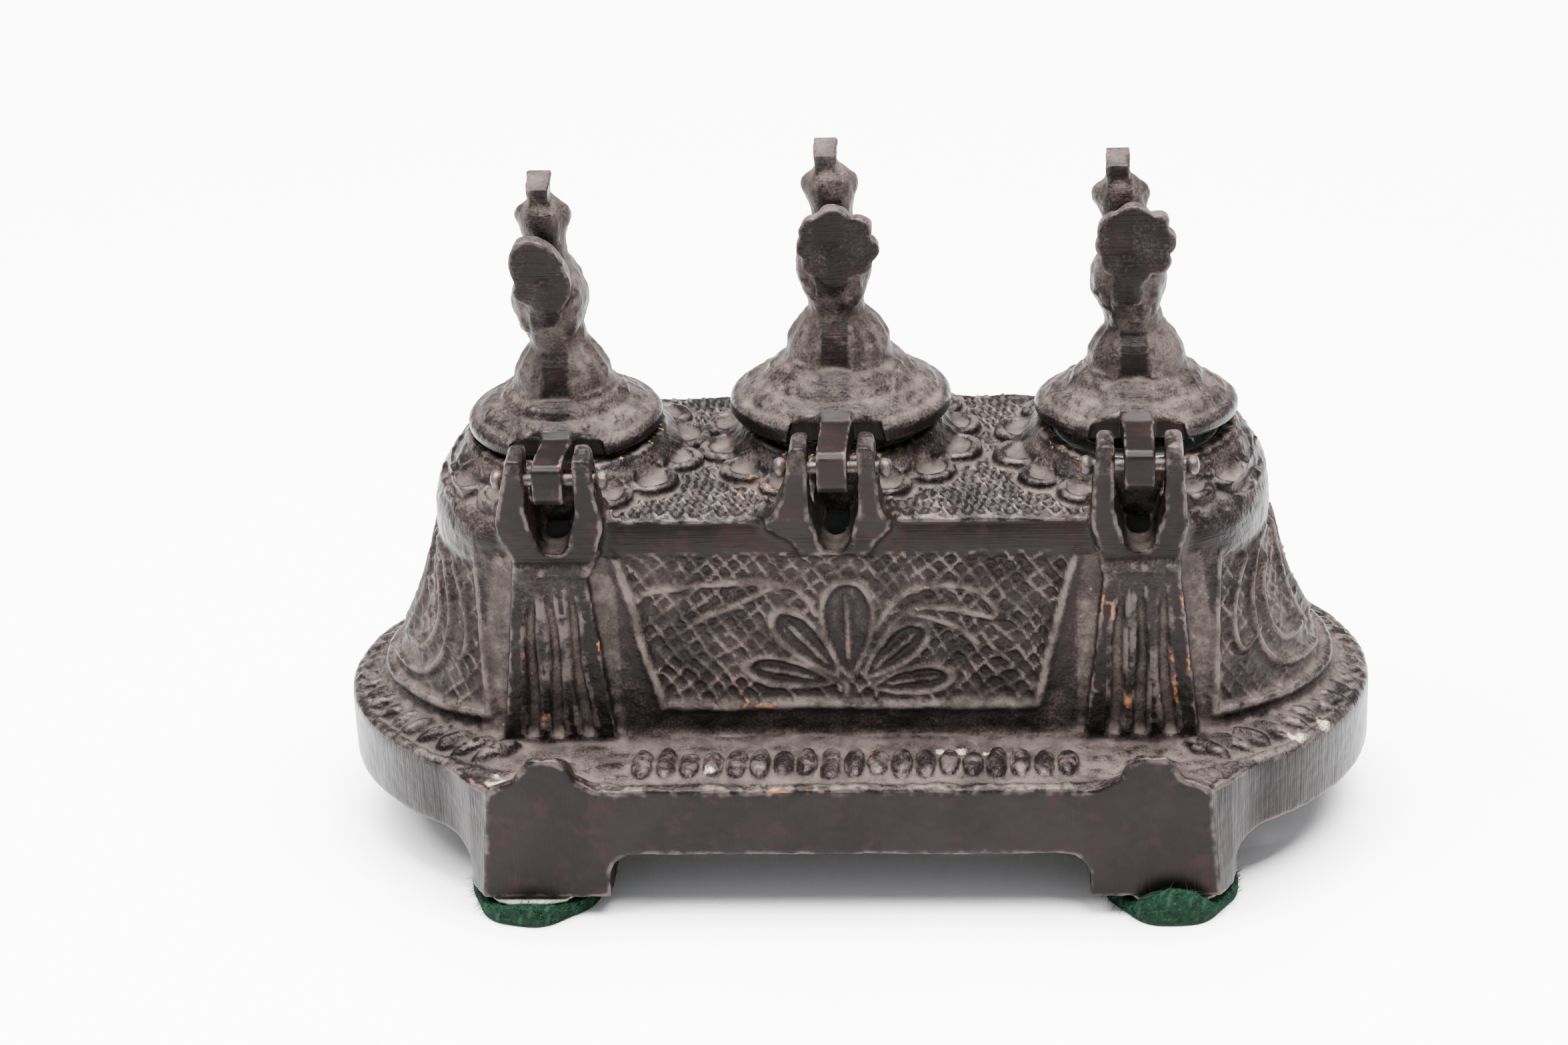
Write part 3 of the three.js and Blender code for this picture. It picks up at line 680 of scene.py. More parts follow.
def stand_grid():
    """The whole stand without its relief. What comes later is laid over or cut from what stands."""
    margin = 2.0
    low = (-FLANGE_LENGTH - margin, -FOOT_FACE - margin, FOOT_BOTTOM - margin)
    high = (FLANGE_LENGTH + margin, FOOT_FACE + margin, STAND_HIGH[2] + margin)
    grid = Grid(low, high, STAND_STEP)
    grid.add(low, (high[0], high[1], FLANGE_TOP + 1), flange)
    add_feet(grid)
    bell_low = (low[0], -BELL_DEPTH - 3, FLANGE_TOP - 4)
    grid.add(bell_low, (high[0], BELL_DEPTH + 3, BELL_TOP + 1), bell, 2.2)
    add_collars(grid)
    add_lobes(grid)
    add_beads(grid)
    inner_low = (low[0], low[1], FLANGE_BOTTOM - 1)
    grid.cut(inner_low, (high[0], high[1], BELL_TOP), hollow)
    add_feet_backs(grid)
    add_pilasters(grid)
    add_ears(grid)
    cut_wells(grid)
    return grid


def add_feet_backs(grid):
    """The foot blocks' inner parts, which the hollow would otherwise cut away."""
    inner, outer, top = FOOT_X - FOOT_HALF, FOOT_X + FOOT_HALF - 1, FLANGE_TOP - 1
    block = [(inner, FOOT_BOTTOM), (outer, FOOT_BOTTOM), (outer, top), (inner, top)]
    for side, end in CORNERS:
        shape = [(side * u, w) for u, w in block]
        back, face = end * (FOOT_FACE - FOOT_DEPTH), end * (FOOT_FACE - 3)
        low = (side * FOOT_X - 10, min(back, face), FOOT_BOTTOM)
        high = (side * FOOT_X + 10, max(back, face), top)
        grid.add(low, high, prism_y(shape, back, face), 0.4)


# ---- the stand: relief ----


def through(points):
    """A smooth line through the given points, as a Catmull-Rom curve."""
    ends = np.array([points[0], *points, points[-1]])
    line = []
    for a, b, c, d in zip(ends, ends[1:], ends[2:], ends[3:]):
        for t in np.arange(10) / 10:
            square = (2 * a - 5 * b + 4 * c - d) * t * t
            cube = (3 * b - a - 3 * c + d) * t**3
            line.append(0.5 * (2 * b + (c - a) * t + square + cube))
    return [*line, points[-1]]


def line_distance(u, v, points):
    """Distance from each place to an open line."""
    nearest = np.full(u.shape, 1e9)
    for start, finish in zip(points, points[1:]):
        nearest = np.minimum(nearest, segment_gap(u, v, start, finish))
    return np.sqrt(nearest)


def ridge(u, v, points, width, height):
    """A rounded ridge along a smooth line."""
    return height * bump(line_distance(u, v, through(points)), width)


def petal(u, v, base, tip, half_width):
    """A petal's raised rim and mid rib, and how far inside it each place is, from 0 to 1."""
    du, dv = tip[0] - base[0], tip[1] - base[1]
    length = math.hypot(du, dv)
    along = ((u - base[0]) * du + (v - base[1]) * dv) / length
    across = ((v - base[1]) * du - (u - base[0]) * dv) / length
    share = along / length
    height = 0.95
    widest = 0.66
    narrow = half_width * np.sin(np.pi / 2 * np.clip(share / widest, 0, 1)) ** 0.8
    tip_gap = np.hypot(across / half_width, (share - widest) / (1 - widest))
    edge = np.where(share > widest, (tip_gap - 1) * half_width, np.abs(across) - narrow)
    edge = np.where(share < 0, np.hypot(across, along), edge)
    rim = height * bump(edge, 0.5)
    rib = 0.7 * height * bump(across, 0.42) * step_up(share, 0.05, 0.2) * step_up(-share, -0.9, -0.74)
    inside = step_up(-edge, -0.1, 0.6)
    return np.maximum(rim, rib), inside


def net(u, v, points, seed, pitch=2.15):
    """A hand-cut net of crossing ridges, from 0 to about 1, one direction stronger than the other."""
    warp = noise(points, 5.0, seed) * 0.32
    rough = noise(points, 1.3, seed + 1)
    lean_a, lean_b = math.radians(130), math.radians(33)
    phase_a = (u * math.cos(lean_a) + v * math.sin(lean_a)) / pitch + warp
    phase_b = (u * math.cos(lean_b) + v * math.sin(lean_b)) / (pitch * 0.95) - warp
    ridge_a = np.maximum(np.cos(2 * np.pi * phase_a), 0) ** 2.0
    ridge_b = np.maximum(np.cos(2 * np.pi * phase_b), 0) ** 2.0
    strength = np.clip(0.95 + 0.9 * rough, 0.1, 1.7)
    teeth = ridge_a * (0.5 + 0.75 * ridge_b)
    return np.maximum(teeth, 0.6 * ridge_b) * strength


# The palmette's petals on a long panel, as (base, tip, half width), in the panel's own
# across and up millimetres from the panel's bottom edge.
PALMETTE = (
    ((0.0, 3.6), (0.0, 19.4), 3.7),
    ((-1.6, 4.0), (-10.3, 14.2), 2.7),
    ((-2.4, 2.8), (-14.9, 5.6), 2.3),
    ((2.2, 3.6), (11.0, 12.0), 2.5),
    ((3.2, 2.0), (14.8, 3.8), 2.2),
)
LEAF_LINES = (
    ((-4.4, 14.0), (-6.2, 17.4), (-8.8, 18.7), (-16.0, 19.2), (-23.0, 18.6), (-29.0, 17.6)),
    ((-10.5, 18.4), (-14.0, 16.6), (-17.5, 14.9), (-21.6, 13.1)),
    ((4.2, 11.4), (6.4, 15.2), (9.8, 18.0), (16.5, 18.5), (20.0, 16.6), (21.6, 13.9)),
    ((4.8, 9.0), (7.0, 12.8), (9.8, 14.8), (15.0, 14.8), (20.9, 13.4)),
    ((9.0, 14.0), (12.5, 13.2), (16.0, 11.6), (18.6, 9.2)),
)


def long_panel(points, end, seed):
    """A long side's relief and dust: a sunk trapezium with a border, a net and a palmette."""
    x, z = points[:, 0] * end, points[:, 2]
    up = z - PANEL_BOTTOM
    half = 26.4 + 6.0 * up / (PANEL_TOP - PANEL_BOTTOM)
    wave = 0.35 * noise(points, 6.0, seed) + 0.15 * noise(points, 2.0, seed + 9)
    from_side = (half - np.abs(x)) * 0.97 + wave
    from_bottom = up + wave
    from_top = PANEL_TOP - z + wave
    inside = np.minimum(from_side, from_bottom)
    field = step_up(inside, -0.4, 0.5) * step_up(from_top, 0.2, 3.0)
    border = bump(inside + 0.75, 0.6) * step_up(from_top, -1.0, 2.0)
    relief = -1.05 * field + 0.55 * border
    u = -x
    figure = np.zeros(len(x))
    leaf = np.zeros(len(x))
    for base, tip, half_width in PALMETTE:
        raised, within = petal(u - 0.1, up, base, tip, half_width)
        figure = np.maximum(figure, raised)
        leaf = np.maximum(leaf, within)
    for points_of_line in LEAF_LINES:
        figure = np.maximum(figure, ridge(u, up, points_of_line, 0.6, 0.95))
    stem = ridge(u, up, ((-2.6, 3.6), (-0.4, 2.6), (-0.6, 0.4)), 0.7, 0.7)
    figure = np.maximum(figure, stem)
    figure = figure * (0.88 + 0.25 * noise(points, 1.6, seed + 3))
    open_field = field * (1 - leaf) * (1 - step_up(figure, 0.15, 0.45))
    mesh = net(u, up, points, seed + 4)
    dots = np.maximum(noise(points, 0.9, seed + 6) - 0.35, 0) * leaf * 0.8
    relief += 1.15 * field * figure + open_field * 1.05 * mesh + field * 0.6 * dots
    dust = 0.14 * field - 0.10 * leaf + field * step_up(figure, 0.2, 0.6) * 0.20
    return relief, dust + border * 0.35


def pilaster_relief(points, seed):
    """A pilaster's relief and dust: fan flutes with smooth ribs, and sandy grooves between them."""
    x, z = points[:, 0], points[:, 2]
    share = (z - FLANGE_TOP) / (PILASTER_TOP - FLANGE_TOP)
    half = PILASTER_HALF - PILASTER_TAPER * np.clip(share, 0, 1)
    across = (np.abs(x) - PILASTER_X) * np.sign(x)
    t = across / half
    fade = step_up(-share, -0.93, -0.66) * step_up(share, 0.035, 0.075)
    relief = np.zeros(len(x))
    dust = np.zeros(len(x))
    inside = np.abs(t) < 1.0
    for centre in (-0.47, 0.02, 0.5):
        gap = (t - centre - 0.03 * np.sin(z * 0.3 + centre * 5)) * half
        width = 0.45 + 0.5 * (1 - share)
        groove = step_up(-np.abs(gap), -width - 0.3, 0.3 - width) * fade * inside
        relief -= 1.25 * groove
        dust += 0.95 * groove
    shoulders = step_up(np.abs(t), 0.92, 1.1) * (np.abs(t) < 1.6)
    relief += shoulders * (0.16 * cloud(points, 1.5, seed) + 0.12 * noise(points, 0.7, seed + 3))
    dust += shoulders * 0.30
    dust -= 0.42 * inside * fade
    return relief, dust


def end_places(points):
    """Arc length round a rounded end from its tip, in millimetres, positive towards the rear."""
    beyond = np.maximum(np.abs(points[:, 0]) - BELL_CENTRE, 0.0)
    angle = np.arctan2(points[:, 1] / BELL_DEPTH, beyond / (BELL_LENGTH - BELL_CENTRE))
    return angle * 20.5


END_LINES = (
    ((3.0, 27.5), (10.5, 29.0), (14.0, 34.0), (14.5, 41.0), (11.5, 46.5), (7.0, 48.0)),
    ((4.5, 31.5), (9.0, 32.0), (11.5, 36.0), (11.4, 41.0), (9.0, 44.5)),
    ((13.8, 35.5), (17.5, 33.5), (19.0, 38.0), (17.6, 43.5), (15.2, 47.0)),
    ((2.0, 46.0), (4.4, 39.0), (3.4, 31.0)),
    ((-1.0, 47.0), (1.2, 39.0), (-1.0, 30.0)),
    ((-4.5, 28.0), (-10.0, 30.0), (-14.0, 35.0), (-14.6, 42.0), (-11.0, 47.0)),
    ((-6.0, 33.0), (-9.6, 35.0), (-11.0, 40.0), (-9.0, 45.0)),
    ((-16.5, 33.5), (-18.6, 38.5), (-17.0, 45.0)),
)


def end_panel(points, side, seed):
    """A rounded end's relief and dust: a bordered field with curled leaves over a net."""
    along = end_places(points)
    z = points[:, 2]
    wave = 0.35 * noise(points, 6.0, seed)
    reach = 22.8 - 1.6 * (z - FLANGE_TOP) / 30
    from_side = reach - np.abs(along) + wave
    from_bottom = z - (FLANGE_TOP + 4.4) + wave
    from_top = BELL_TOP - 6.6 - z + wave
    inside = np.minimum(from_side, from_bottom)
    field = step_up(inside, -0.3, 0.5) * step_up(from_top, 0.0, 2.5)
    border = bump(inside + 0.75, 0.75) * step_up(from_top, -1.0, 2.0)
    figure = np.zeros(len(z))
    for line in END_LINES:
        figure = np.maximum(figure, ridge(along, z + side * 0.3, line, 0.75, 0.85))
    leaf = np.maximum(*(ridge(along, z, END_LINES[index], 2.6, 1.0) for index in (0, 5)))
    mesh = net(along * side, z, points, seed + 4, 2.3)
    open_field = field * (1 - step_up(figure, 0.15, 0.5)) * (1 - 0.7 * leaf)
    relief = -0.8 * field + 0.6 * border + 1.25 * field * figure + open_field * 0.6 * mesh
    return relief, field * 0.12 + border * 0.15


def top_relief(points, seed):
    """The top's relief and dust: dished petals, net between the wells, streaks at the ends."""
    x, y, _ = points.T
    gap = petal_gap(x, y)
    nearest = np.min([np.hypot(x - well.x, y - well.y) for well in WELLS], axis=0)
    between = step_up(gap, 0.4, 1.2) * (np.abs(x) < BELL_CENTRE + 4)
    mesh = net(x, y, points, seed, 1.9)
    edge = BELL_DEPTH - np.abs(y)
    lip = bump(edge - 1.3, 0.8) * (np.abs(x) < BELL_CENTRE) * step_up(gap, -0.5, 0.6)
    rim = bump(gap + 0.75, 0.65)
    dish = step_up(-gap, 1.0, 2.2) * step_up(nearest, COLLAR_RADIUS + 1.8, COLLAR_RADIUS + 3.0)
    relief = between * mesh * step_up(edge, 1.2, 2.4) + 0.35 * rim - 0.35 * dish
    relief += lip * (0.35 + 0.25 * noise(points, 3.0, seed + 2))
    ends = step_up(np.abs(x), BELL_CENTRE + 8, BELL_CENTRE + 13)
    relief += (0.25 + 0.35 * ends) * 0.5 * noise(points, (4.0, 1.3, 4.0), seed + 5)
    return relief, -0.42 * between - 0.34 * rim + 0.15 * dish


def flange_relief(points, seed):
    """The flange's upper face: a thin uneven lip along its edge, and no dust of its own."""
    inward = -oval_outline(points[:, 0], points[:, 1], FLANGE_LENGTH, FLANGE_DEPTH, FLANGE_CENTRE)
    lip = bump(inward - 1.2, 0.8) * (0.30 + 0.3 * noise(points, 4.0, seed))
    ripple = 0.28 * noise(points, (2.6, 1.6, 2.2), seed + 1) * step_up(inward, 1.0, 3.0)
    return lip + ripple, 0.0


class Pattern:
    """Collects the relief and the dust of the patterns that cover parts of a skin."""

    def __init__(self, points):
        self.points = points
        self.relief = np.zeros(len(points))
        self.dust = np.zeros(len(points))

    def lay(self, covered, made_of, seed):
        rows = np.flatnonzero(covered)
        relief, dust = made_of(self.points[rows], seed)
        self.relief[rows] += relief
        self.dust[rows] += dust


def lay_patterns(skin, normals, from_bell):
    """The stand's relief and dust, one pattern for each part of its outside."""
    x, y, z = skin.points.T
    pattern = Pattern(skin.points)
    outside = from_bell > -2.2
    for end in BOTH:
        facing, behind = normals[:, 1] * end, y * end
        wall = (facing > 0.75) & (behind > 18) & (np.abs(x) < 34.8) & outside
        wall &= (z > FLANGE_TOP + 1) & (z < BELL_TOP)
        pattern.lay(wall, lambda points, seed: long_panel(points, end, seed), 20 + end)
        column = (facing > 0.3) & (behind > 18) & (np.abs(x) > 33) & (np.abs(x) < 54)
        column &= (z > FLANGE_TOP + 0.5) & (z < BELL_TOP - 4) & outside & (behind < BELL_DEPTH + 3)
        pattern.lay(column, pilaster_relief, 40 + end)
    for side, seed in ((-1, 80), (1, 60)):
        ending = (x * side > BELL_CENTRE + 3.5) & (z > FLANGE_TOP + 1.5) & (z < BELL_TOP - 1)
        ending &= (normals[:, 2] < 0.75) & (from_bell > -2.0)
        pattern.lay(ending, lambda points, seed: end_panel(points, side, seed), seed)
    upper = normals[:, 2] > 0.6
    pattern.lay(upper & (z > BELL_TOP - 1.5) & (z < COLLAR_TOP - 0.8), top_relief, 100)
    pattern.lay(upper & (np.abs(z - FLANGE_TOP) < 1.6), flange_relief, 120)
    return pattern


def stand_marks(skin):
    """Displaces the stand's skin by its relief and returns the marks that its material reads."""
    points, normals = skin.points, skin.normals()
    x, y, z = points.T
    from_bell = bell_outline(x, y, z, 0.0)
    pattern = lay_patterns(skin, normals, from_bell)
    inner = (z < BELL_TOP - 3) & (from_bell < -2.5) & (z > FLANGE_BOTTOM + 0.5)
    relief = np.where(inner, 0, pattern.relief)
    from_flange = oval_outline(x, y, FLANGE_LENGTH, FLANGE_DEPTH, FLANGE_CENTRE)
    band = (np.abs(normals[:, 2]) < 0.5) & (z < FLANGE_TOP + 5) & ~inner
    band &= np.maximum(from_flange, np.abs(y) - 33) > -1.5
    brow = (np.abs(normals[:, 1]) > 0.8) & (z > PANEL_TOP - 1) & (z < BELL_TOP + 8) & (np.abs(y) > 18)
    rough = 0.12 * cloud(points, 3.2, 7) + 0.09 * noise(points, 0.85, 9)
    calm = np.where(band | brow, 0.35, 1.0)
    skin.points = points + normals * (relief + rough * calm)[:, None]
    nearest = np.min([np.hypot(x - well.x, y - well.y) for well in WELLS], axis=0)
    ring = (nearest < COLLAR_RADIUS + 0.3) & (z > COLLAR_TOP - 1.2)
    return {
        "filed_v": band * 1.0,
        "filed_h": brow * (z < BELL_TOP) * 1.0,
        "tint": pattern.dust,
        "ring": ring * 1.0,
        "smooth": (band | brow | ring) * 1.0,
        "chalk": chalk_spots(points),
    }


# Crusts of pale polish left on the casting: place in millimetres and how far each one spreads.
CHALK = (
    ((50.2, 33.6, 21.6), 1.6),
    ((-13.2, 24.8, 21.6), 0.7),
    ((-16.4, 24.8, 21.6), 0.8),
    ((-19.8, 25.3, 21.6), 0.6),
    ((19.9, 30.8, 21.8), 0.6),
    ((-64.5, 21.8, 21.8), 1.2),
    ((-68.7, 18.5, 21.8), 1.1),
    ((62.0, 13.8, 21.8), 0.7),
)


def chalk_spots(points):
    """How much pale crust lies on each point, from 0 to 1."""
    total = np.zeros(len(points))
    broken = cloud(points, 1.3, 900)
    for place, reach in CHALK:
        gap = np.linalg.norm(points - np.array(place), axis=1)
        total = np.maximum(total, step_up(1.15 * reach - gap + 0.9 * reach * broken, 0, 0.5 * reach))
    return total


def finish_marks(skin, marks, seed):
    """Adds the shading marks that come from the finished shape: dust in broad hollows and on upward faces,
    painted shade in small hollows, and convex edges that carry copper wear and a painted sheen.
    """
    normals = skin.normals()
    fine = skin.hollowness(3)
    middling = skin.hollowness(10)
    broad = skin.hollowness(36)
    upward = np.clip(normals[:, 2], 0, 1)
    upright = 1 - upward
    patchy = cloud(skin.points, 9.0, seed)
    grainy = cloud(skin.points, 1.6, seed + 5)
    raised = np.clip(-middling, -0.25, 0.35)
    dust = 0.24 + 0.24 * upward**1.5 + 0.7 * np.clip(broad, -0.15, 0.4) + marks["tint"]
    # Raised parts take more of the pale dust colour on upright faces and less on upward faces; on upright
    # faces this is painted light on the ridges and painted shade in the hollows between them.
    dust += raised * (1.5 * upright - 1.3 * upward)
    dust += 0.18 * patchy + 0.16 * grainy - 0.5 * marks["smooth"]
    marks["dust"] = np.clip(skin.soften(dust, 1), 0, 1)
    # How convex each point is: the material reads it for copper wear and for a painted sheen on edges.
    marks["edge"] = np.clip(-fine * 14, 0, 1)
    # Painted shade: small and middling hollows, weighted towards upright faces, are marked to be coloured
    # dark, standing in for the shade that falls in them.
    open_part = np.clip(1 - 2.5 * marks["tint"], 0, 1)
    marks["painted_hollow_shade"] = np.clip((fine * 7 + middling * 2.2) * (0.35 + 0.65 * upright), 0, 1) * open_part
    for name in ("filed_v", "filed_h", "smooth", "ring"):
        marks[name] = skin.soften(marks[name], 2)
    del marks["tint"]
    return marks


def build_stand(material):
    """The whole stand as one piece."""
    skin = skin_of(stand_grid())
    skin.relax(2)
    marks = stand_marks(skin)
    skin.relax(1, 0.35)
    marks = finish_marks(skin, marks, 200)
    piece = make_object("bronze_stand", skin.points, skin.quads, material, marks)
    settle(piece, "stand", "stand")


# ---- lids: disc, boss, bird and tang in one casting ----


class Lid:
    """The sizes of one lid in its own frame: the disc lies on z = 0 about the well's axis."""

    def __init__(self, place, overhang, thickness, tilt, dome, boss, neck_foot, shift, lean, seed):
        self.well = WELLS[PLACES.index(place)]
        self.place = place
        self.radius = COLLAR_RADIUS + overhang
        self.thickness = thickness
        self.tilt = math.radians(tilt)
        self.boss_foot = thickness + dome
        self.boss = boss
        self.base = neck_foot
        self.shift = shift
        self.lean = lean
        self.seed = seed

    def inward(self, y, z):
        """A point of the stand's frame, in Y and Z, seen from the lid's own tilted frame."""
        v = y - (self.well.y - self.radius)
        w = z - LID_SEAT
        c, s = math.cos(self.tilt), math.sin(self.tilt)
        return v * c + w * s - self.radius, w * c - v * s

    def outward(self, points):
        """Points of the lid's own frame moved to the stand's frame."""
        c, s = math.cos(self.tilt), math.sin(self.tilt)
        v = points[:, 1] + self.radius
        w = points[:, 2]
        moved = np.stack([points[:, 0] + self.well.x, v * c - w * s, v * s + w * c], 1)
        return moved + np.array([0, self.well.y - self.radius, LID_SEAT])

    def at(self, height):
        """The bird's middle line: across and up at a height over the bird's foot."""
        return self.shift + self.lean * height, self.base + height


# Each lid's sizes, in the order that Lid takes them.
LIDS = (
    Lid("left", 0.3, 2.5, 4.6, 4.4, 7.2, 13.0, 0.50, 0.083, 300),
    Lid("middle", 1.7, 3.1, 3.0, 5.4, 7.65, 14.7, 0.15, 0.025, 340),
    Lid("right", -0.2, 2.5, 0.3, 4.1, 7.2, 12.8, 0.60, 0.053, 380),
)
TANG_WIDTH = 4.3
TAIL_FACE = 6.9
STRIP_X = 0.35


def add_disc(grid, lid):
    """The turned disc and its boss, with a flat filed down the boss's rear."""
    r, t, top, b = lid.radius, lid.thickness, lid.boss_foot, lid.boss
    profile = [
        (0, 0),
        (r - 0.7, 0),
        (r, 0.7),
        (r + 0.05, t - 0.9),
        (r - 0.6, t - 0.1),
        (r - 1.6, t + 0.25),
        (r - 2.2, t + 0.9),
        (r - 3.4, t + 1.7),
        (r - 4.6, t + 2.2),
        (b + 1.6, top - 0.7),
        (b + 0.5, top),
        (b + 0.05, top + 0.9),
        (b - 0.3, top + 2.8),
        (b - 1.4, top + 4.8),
        (b - 2.5, lid.base),
        (4.0, lid.base + 1.0),
        (3.6, lid.base + 2.6),
        (0, lid.base + 2.6),
    ]
    reach = r + 1
    grid.add((-reach, -reach, 0), (reach, reach, lid.base + 3), turned(profile, 0, 0))
    flat = b - 0.75

    def strip(x, y, z):
        aside = np.abs(x - STRIP_X) - 2.3
        return np.maximum(np.maximum(flat - y, aside), lid.boss_foot + 0.2 - z)

    grid.cut((-3, flat, lid.boss_foot), (3, b + 1, lid.base - 1), strip, 0.25)


def add_notches(grid, lid):
    """The two bites out of the rim that clear the ears."""
    back, top = lid.radius - 2.8, lid.thickness + 1.2
    for side in BOTH:
        near, far = side * (TANG_WIDTH / 2 + 0.1), side * (TANG_WIDTH / 2 + 5.2)
        near, far = sorted((near, far))
        tip, corner = (near, far) if side > 0 else (far, near)
        shape = [(tip, -1), (tip, top), (corner - side * 1.2, top), (corner, -1)]
        low, high = (near, back, -1), (far, lid.radius + 1, lid.thickness + 2)
        grid.cut(low, high, prism_y(shape, back, lid.radius + 2), 0.4)


def add_tang(grid, lid):
    """The tongue that reaches between the ears and ends in a square hook round the pin."""
    well = lid.well
    rear_y = well.y - lid.radius + 2 * lid.radius * math.cos(lid.tilt)
    rear_z = LID_SEAT + 2 * lid.radius * math.sin(lid.tilt)
    root = rear_y - 2.8 - 1.6
    y, z = well.pin_y, well.pin_z
    shape = [
        (root, rear_z + 0.1),
        (well.y + COLLAR_RADIUS + 0.6, rear_z + 0.1),
        (y - 2.6, z - 2.2),
        (y + 2.5, z - 2.7),
        (y + 3.5, z - 1.7),
        (y + 3.75, z - 1.2),
        (y + 3.7, z + 3.0),
        (y + 2.7, z + 3.7),
        (y - 1.5, z + 3.3),
        (root, rear_z + lid.thickness - 0.1),
    ]
    shape = [lid.inward(*place) for place in shape]
    ys, zs = zip(*shape)
    low = (-TANG_WIDTH / 2, min(ys), min(zs))
    high = (TANG_WIDTH / 2, max(ys), max(zs))
    grid.add(low, high, prism_x(shape, 0, TANG_WIDTH), 0.6)
    hole_y, hole_z = lid.inward(y, z)
    hole = rod_x(PIN_RADIUS + FIT, 0, hole_y, hole_z, TANG_WIDTH + 2)
    grid.cut((-4, hole_y - 2, hole_z - 2), (4, hole_y + 2, hole_z + 2), hole)


# The balls that a bird is modelled from: height over its foot, place in Y, three radii, pitch,
# place aside and blend. Those with a place aside are made on both sides.
BIRD = (
    (3.4, 0.4, (4.0, 4.8, 4.2), 0, 0, 1.2),
    (7.4, -0.4, (5.2, 7.4, 6.2), 14, 0, 1.2),
    (8.4, -3.6, (3.9, 4.4, 5.2), 0, 0, 1.2),
    (7.6, 0.4, (1.7, 5.2, 3.4), 24, 3.8, 0.4),
    (5.4, 2.2, (1.5, 3.2, 2.2), 10, 3.2, 0.3),
    (14.0, -1.6, (3.0, 3.3, 6.6), 6, 0, 1.6),
    (18.5, -2.3, (3.6, 4.1, 3.8), 0, 0, 1.2),
    (19.1, -2.7, (1.15, 1.5, 1.5), 0, 3.0, 0.7),
    (17.8, -6.6, (1.25, 3.0, 1.3), -16, 0, 0.6),
    (15.6, -5.2, (0.9, 1.2, 1.9), 0, 0, 0.5),
    (9.6, 3.9, (2.7, 3.4, 4.6), -20, 0, 1.5),
)


def add_ball(grid, lid, height, y, radii, pitch, aside, blend):
    """One lump of a bird, with its height over the bird's foot and its place aside of its middle."""
    x, z = lid.at(height)
    centre = np.array((x + aside, y, z))
    reach = max(radii)
    grid.add(centre - reach, centre + reach, ellipsoid(centre, radii, pitch), blend)


def add_bird(grid, lid):
    """A sitting bird that faces the writer, with a square crest and an upright fan for a tail."""
    for *ball, aside, blend in BIRD:
        for place in (-aside, aside) if aside else (0,):
            add_ball(grid, lid, *ball, place, blend)
    add_crest(grid, lid)
    add_stub(grid, lid)
    add_tail(grid, lid)


def add_crest(grid, lid):
    """The square comb on a bird's head."""
    x, z = lid.at(22.0)
    x += 0.5 if lid.place == "middle" else 0.2
    side = [(-4.9, -2.6), (-0.2, -2.2), (0.15, 1.9), (-0.4, 2.15), (-4.4, 3.35), (-5.0, 2.7)]
    side = [(v, z + w) for v, w in side]

    def block(px, py, pz):
        width = 3.0 + 0.17 * (pz - z)
        return np.maximum(outline_distance(py, pz, side), np.abs(px - x) - width / 2)

    grid.add((x - 2.5, -5.2, z - 3), (x + 2.5, 0.4, z + 3.6), block, 0.7)


def add_stub(grid, lid):
    """The square stump of the casting gate under the tail."""
    x, z = lid.at(6.5)
    side = [(1.5, -3.2), (4.8, -2.4), (6.4, -1.0), (6.6, 1.7), (5.6, 2.8), (1.5, 4.6)]
    side = [(v, z + w) for v, w in side]
    grid.add((x - 2.4, 1.5, z - 3.4), (x + 3, 6.6, z + 4.6), prism_x(side, x + 0.5, 3.9), 0.35)
    add_ball(grid, lid, 5.0, 4.0, (1.4, 2.0, 2.6), 0, -2.0, 0.4)
    add_ball(grid, lid, 6.0, 3.6, (1.0, 1.8, 3.2), 0, -3.3, 0.4)


# The rounded feather ends of a fan tail: across, up and radius from the fan's middle.
FAN_REST = ((-3.2, -2.6, 1.85), (3.1, -2.5, 1.9), (0.0, -0.6, 3.9), (0.0, -3.6, 2.3))
FANS = {
    "left": ((0.3, 3.1, 2.75), (-3.2, 3.0, 1.7), (2.9, 2.0, 2.6), (4.0, -0.1, 1.75), (-4.1, 0.3, 1.8)),
    "middle": ((0.3, 3.1, 2.75), (-3.3, 2.4, 2.0), (3.0, 2.2, 2.25), (4.0, -0.1, 1.75), (-4.5, -0.6, 1.75)),
}
# Where each tail stands: height over the bird's foot, and how far it is off the bird's middle line.
TAIL_PLACES = {"left": (14.3, -1.5), "middle": (12.6, -0.85), "right": (13.5, 0.0)}


def fan_outline(u, w, lobes):
    """Round lobes run together."""
    flat = np.full(np.broadcast(u, w).shape, FAR, np.float32)
    for across, up, radius in lobes:
        flat = smooth_min(flat, np.sqrt((u - across) ** 2 + (w - up) ** 2) - radius, 0.5)
    return flat


def oval_tail_outline(u, w):
    """A leaning oval with one lobe at its lower outside."""
    turn = math.radians(27)
    c, s = math.cos(turn), math.sin(turn)
    u = u - 0.2
    across, up = u * c - w * s, w * c + u * s
    lobe = np.sqrt((across - 2.9) ** 2 + (up + 1.4) ** 2) - 1.9
    return smooth_min(round_distance((across, up), (3.9, 5.8)), lobe, 0.3)


def add_tail(grid, lid):
    """An upright slab with the tail's outline, a little wider at its face than behind."""
    height, aside = TAIL_PLACES[lid.place]
    x, z = lid.at(height)
    x += aside
    half = 1.6
    reach = 8

    def slab(px, py, pz):
        if lid.place in FANS:
            flat = fan_outline(px - x, pz - z, FANS[lid.place] + FAN_REST)
        else:
            flat = oval_tail_outline(px - x, pz - z)
        flat = flat + 0.08 * np.maximum(TAIL_FACE - py, 0)
        return smooth_max(flat, np.abs(py - TAIL_FACE + half) - half, 0.3)

    low, high = (x - reach, TAIL_FACE - 3.4, z - reach), (x + reach, TAIL_FACE, z + reach)
    grid.add(low, high, slab, 0.7)


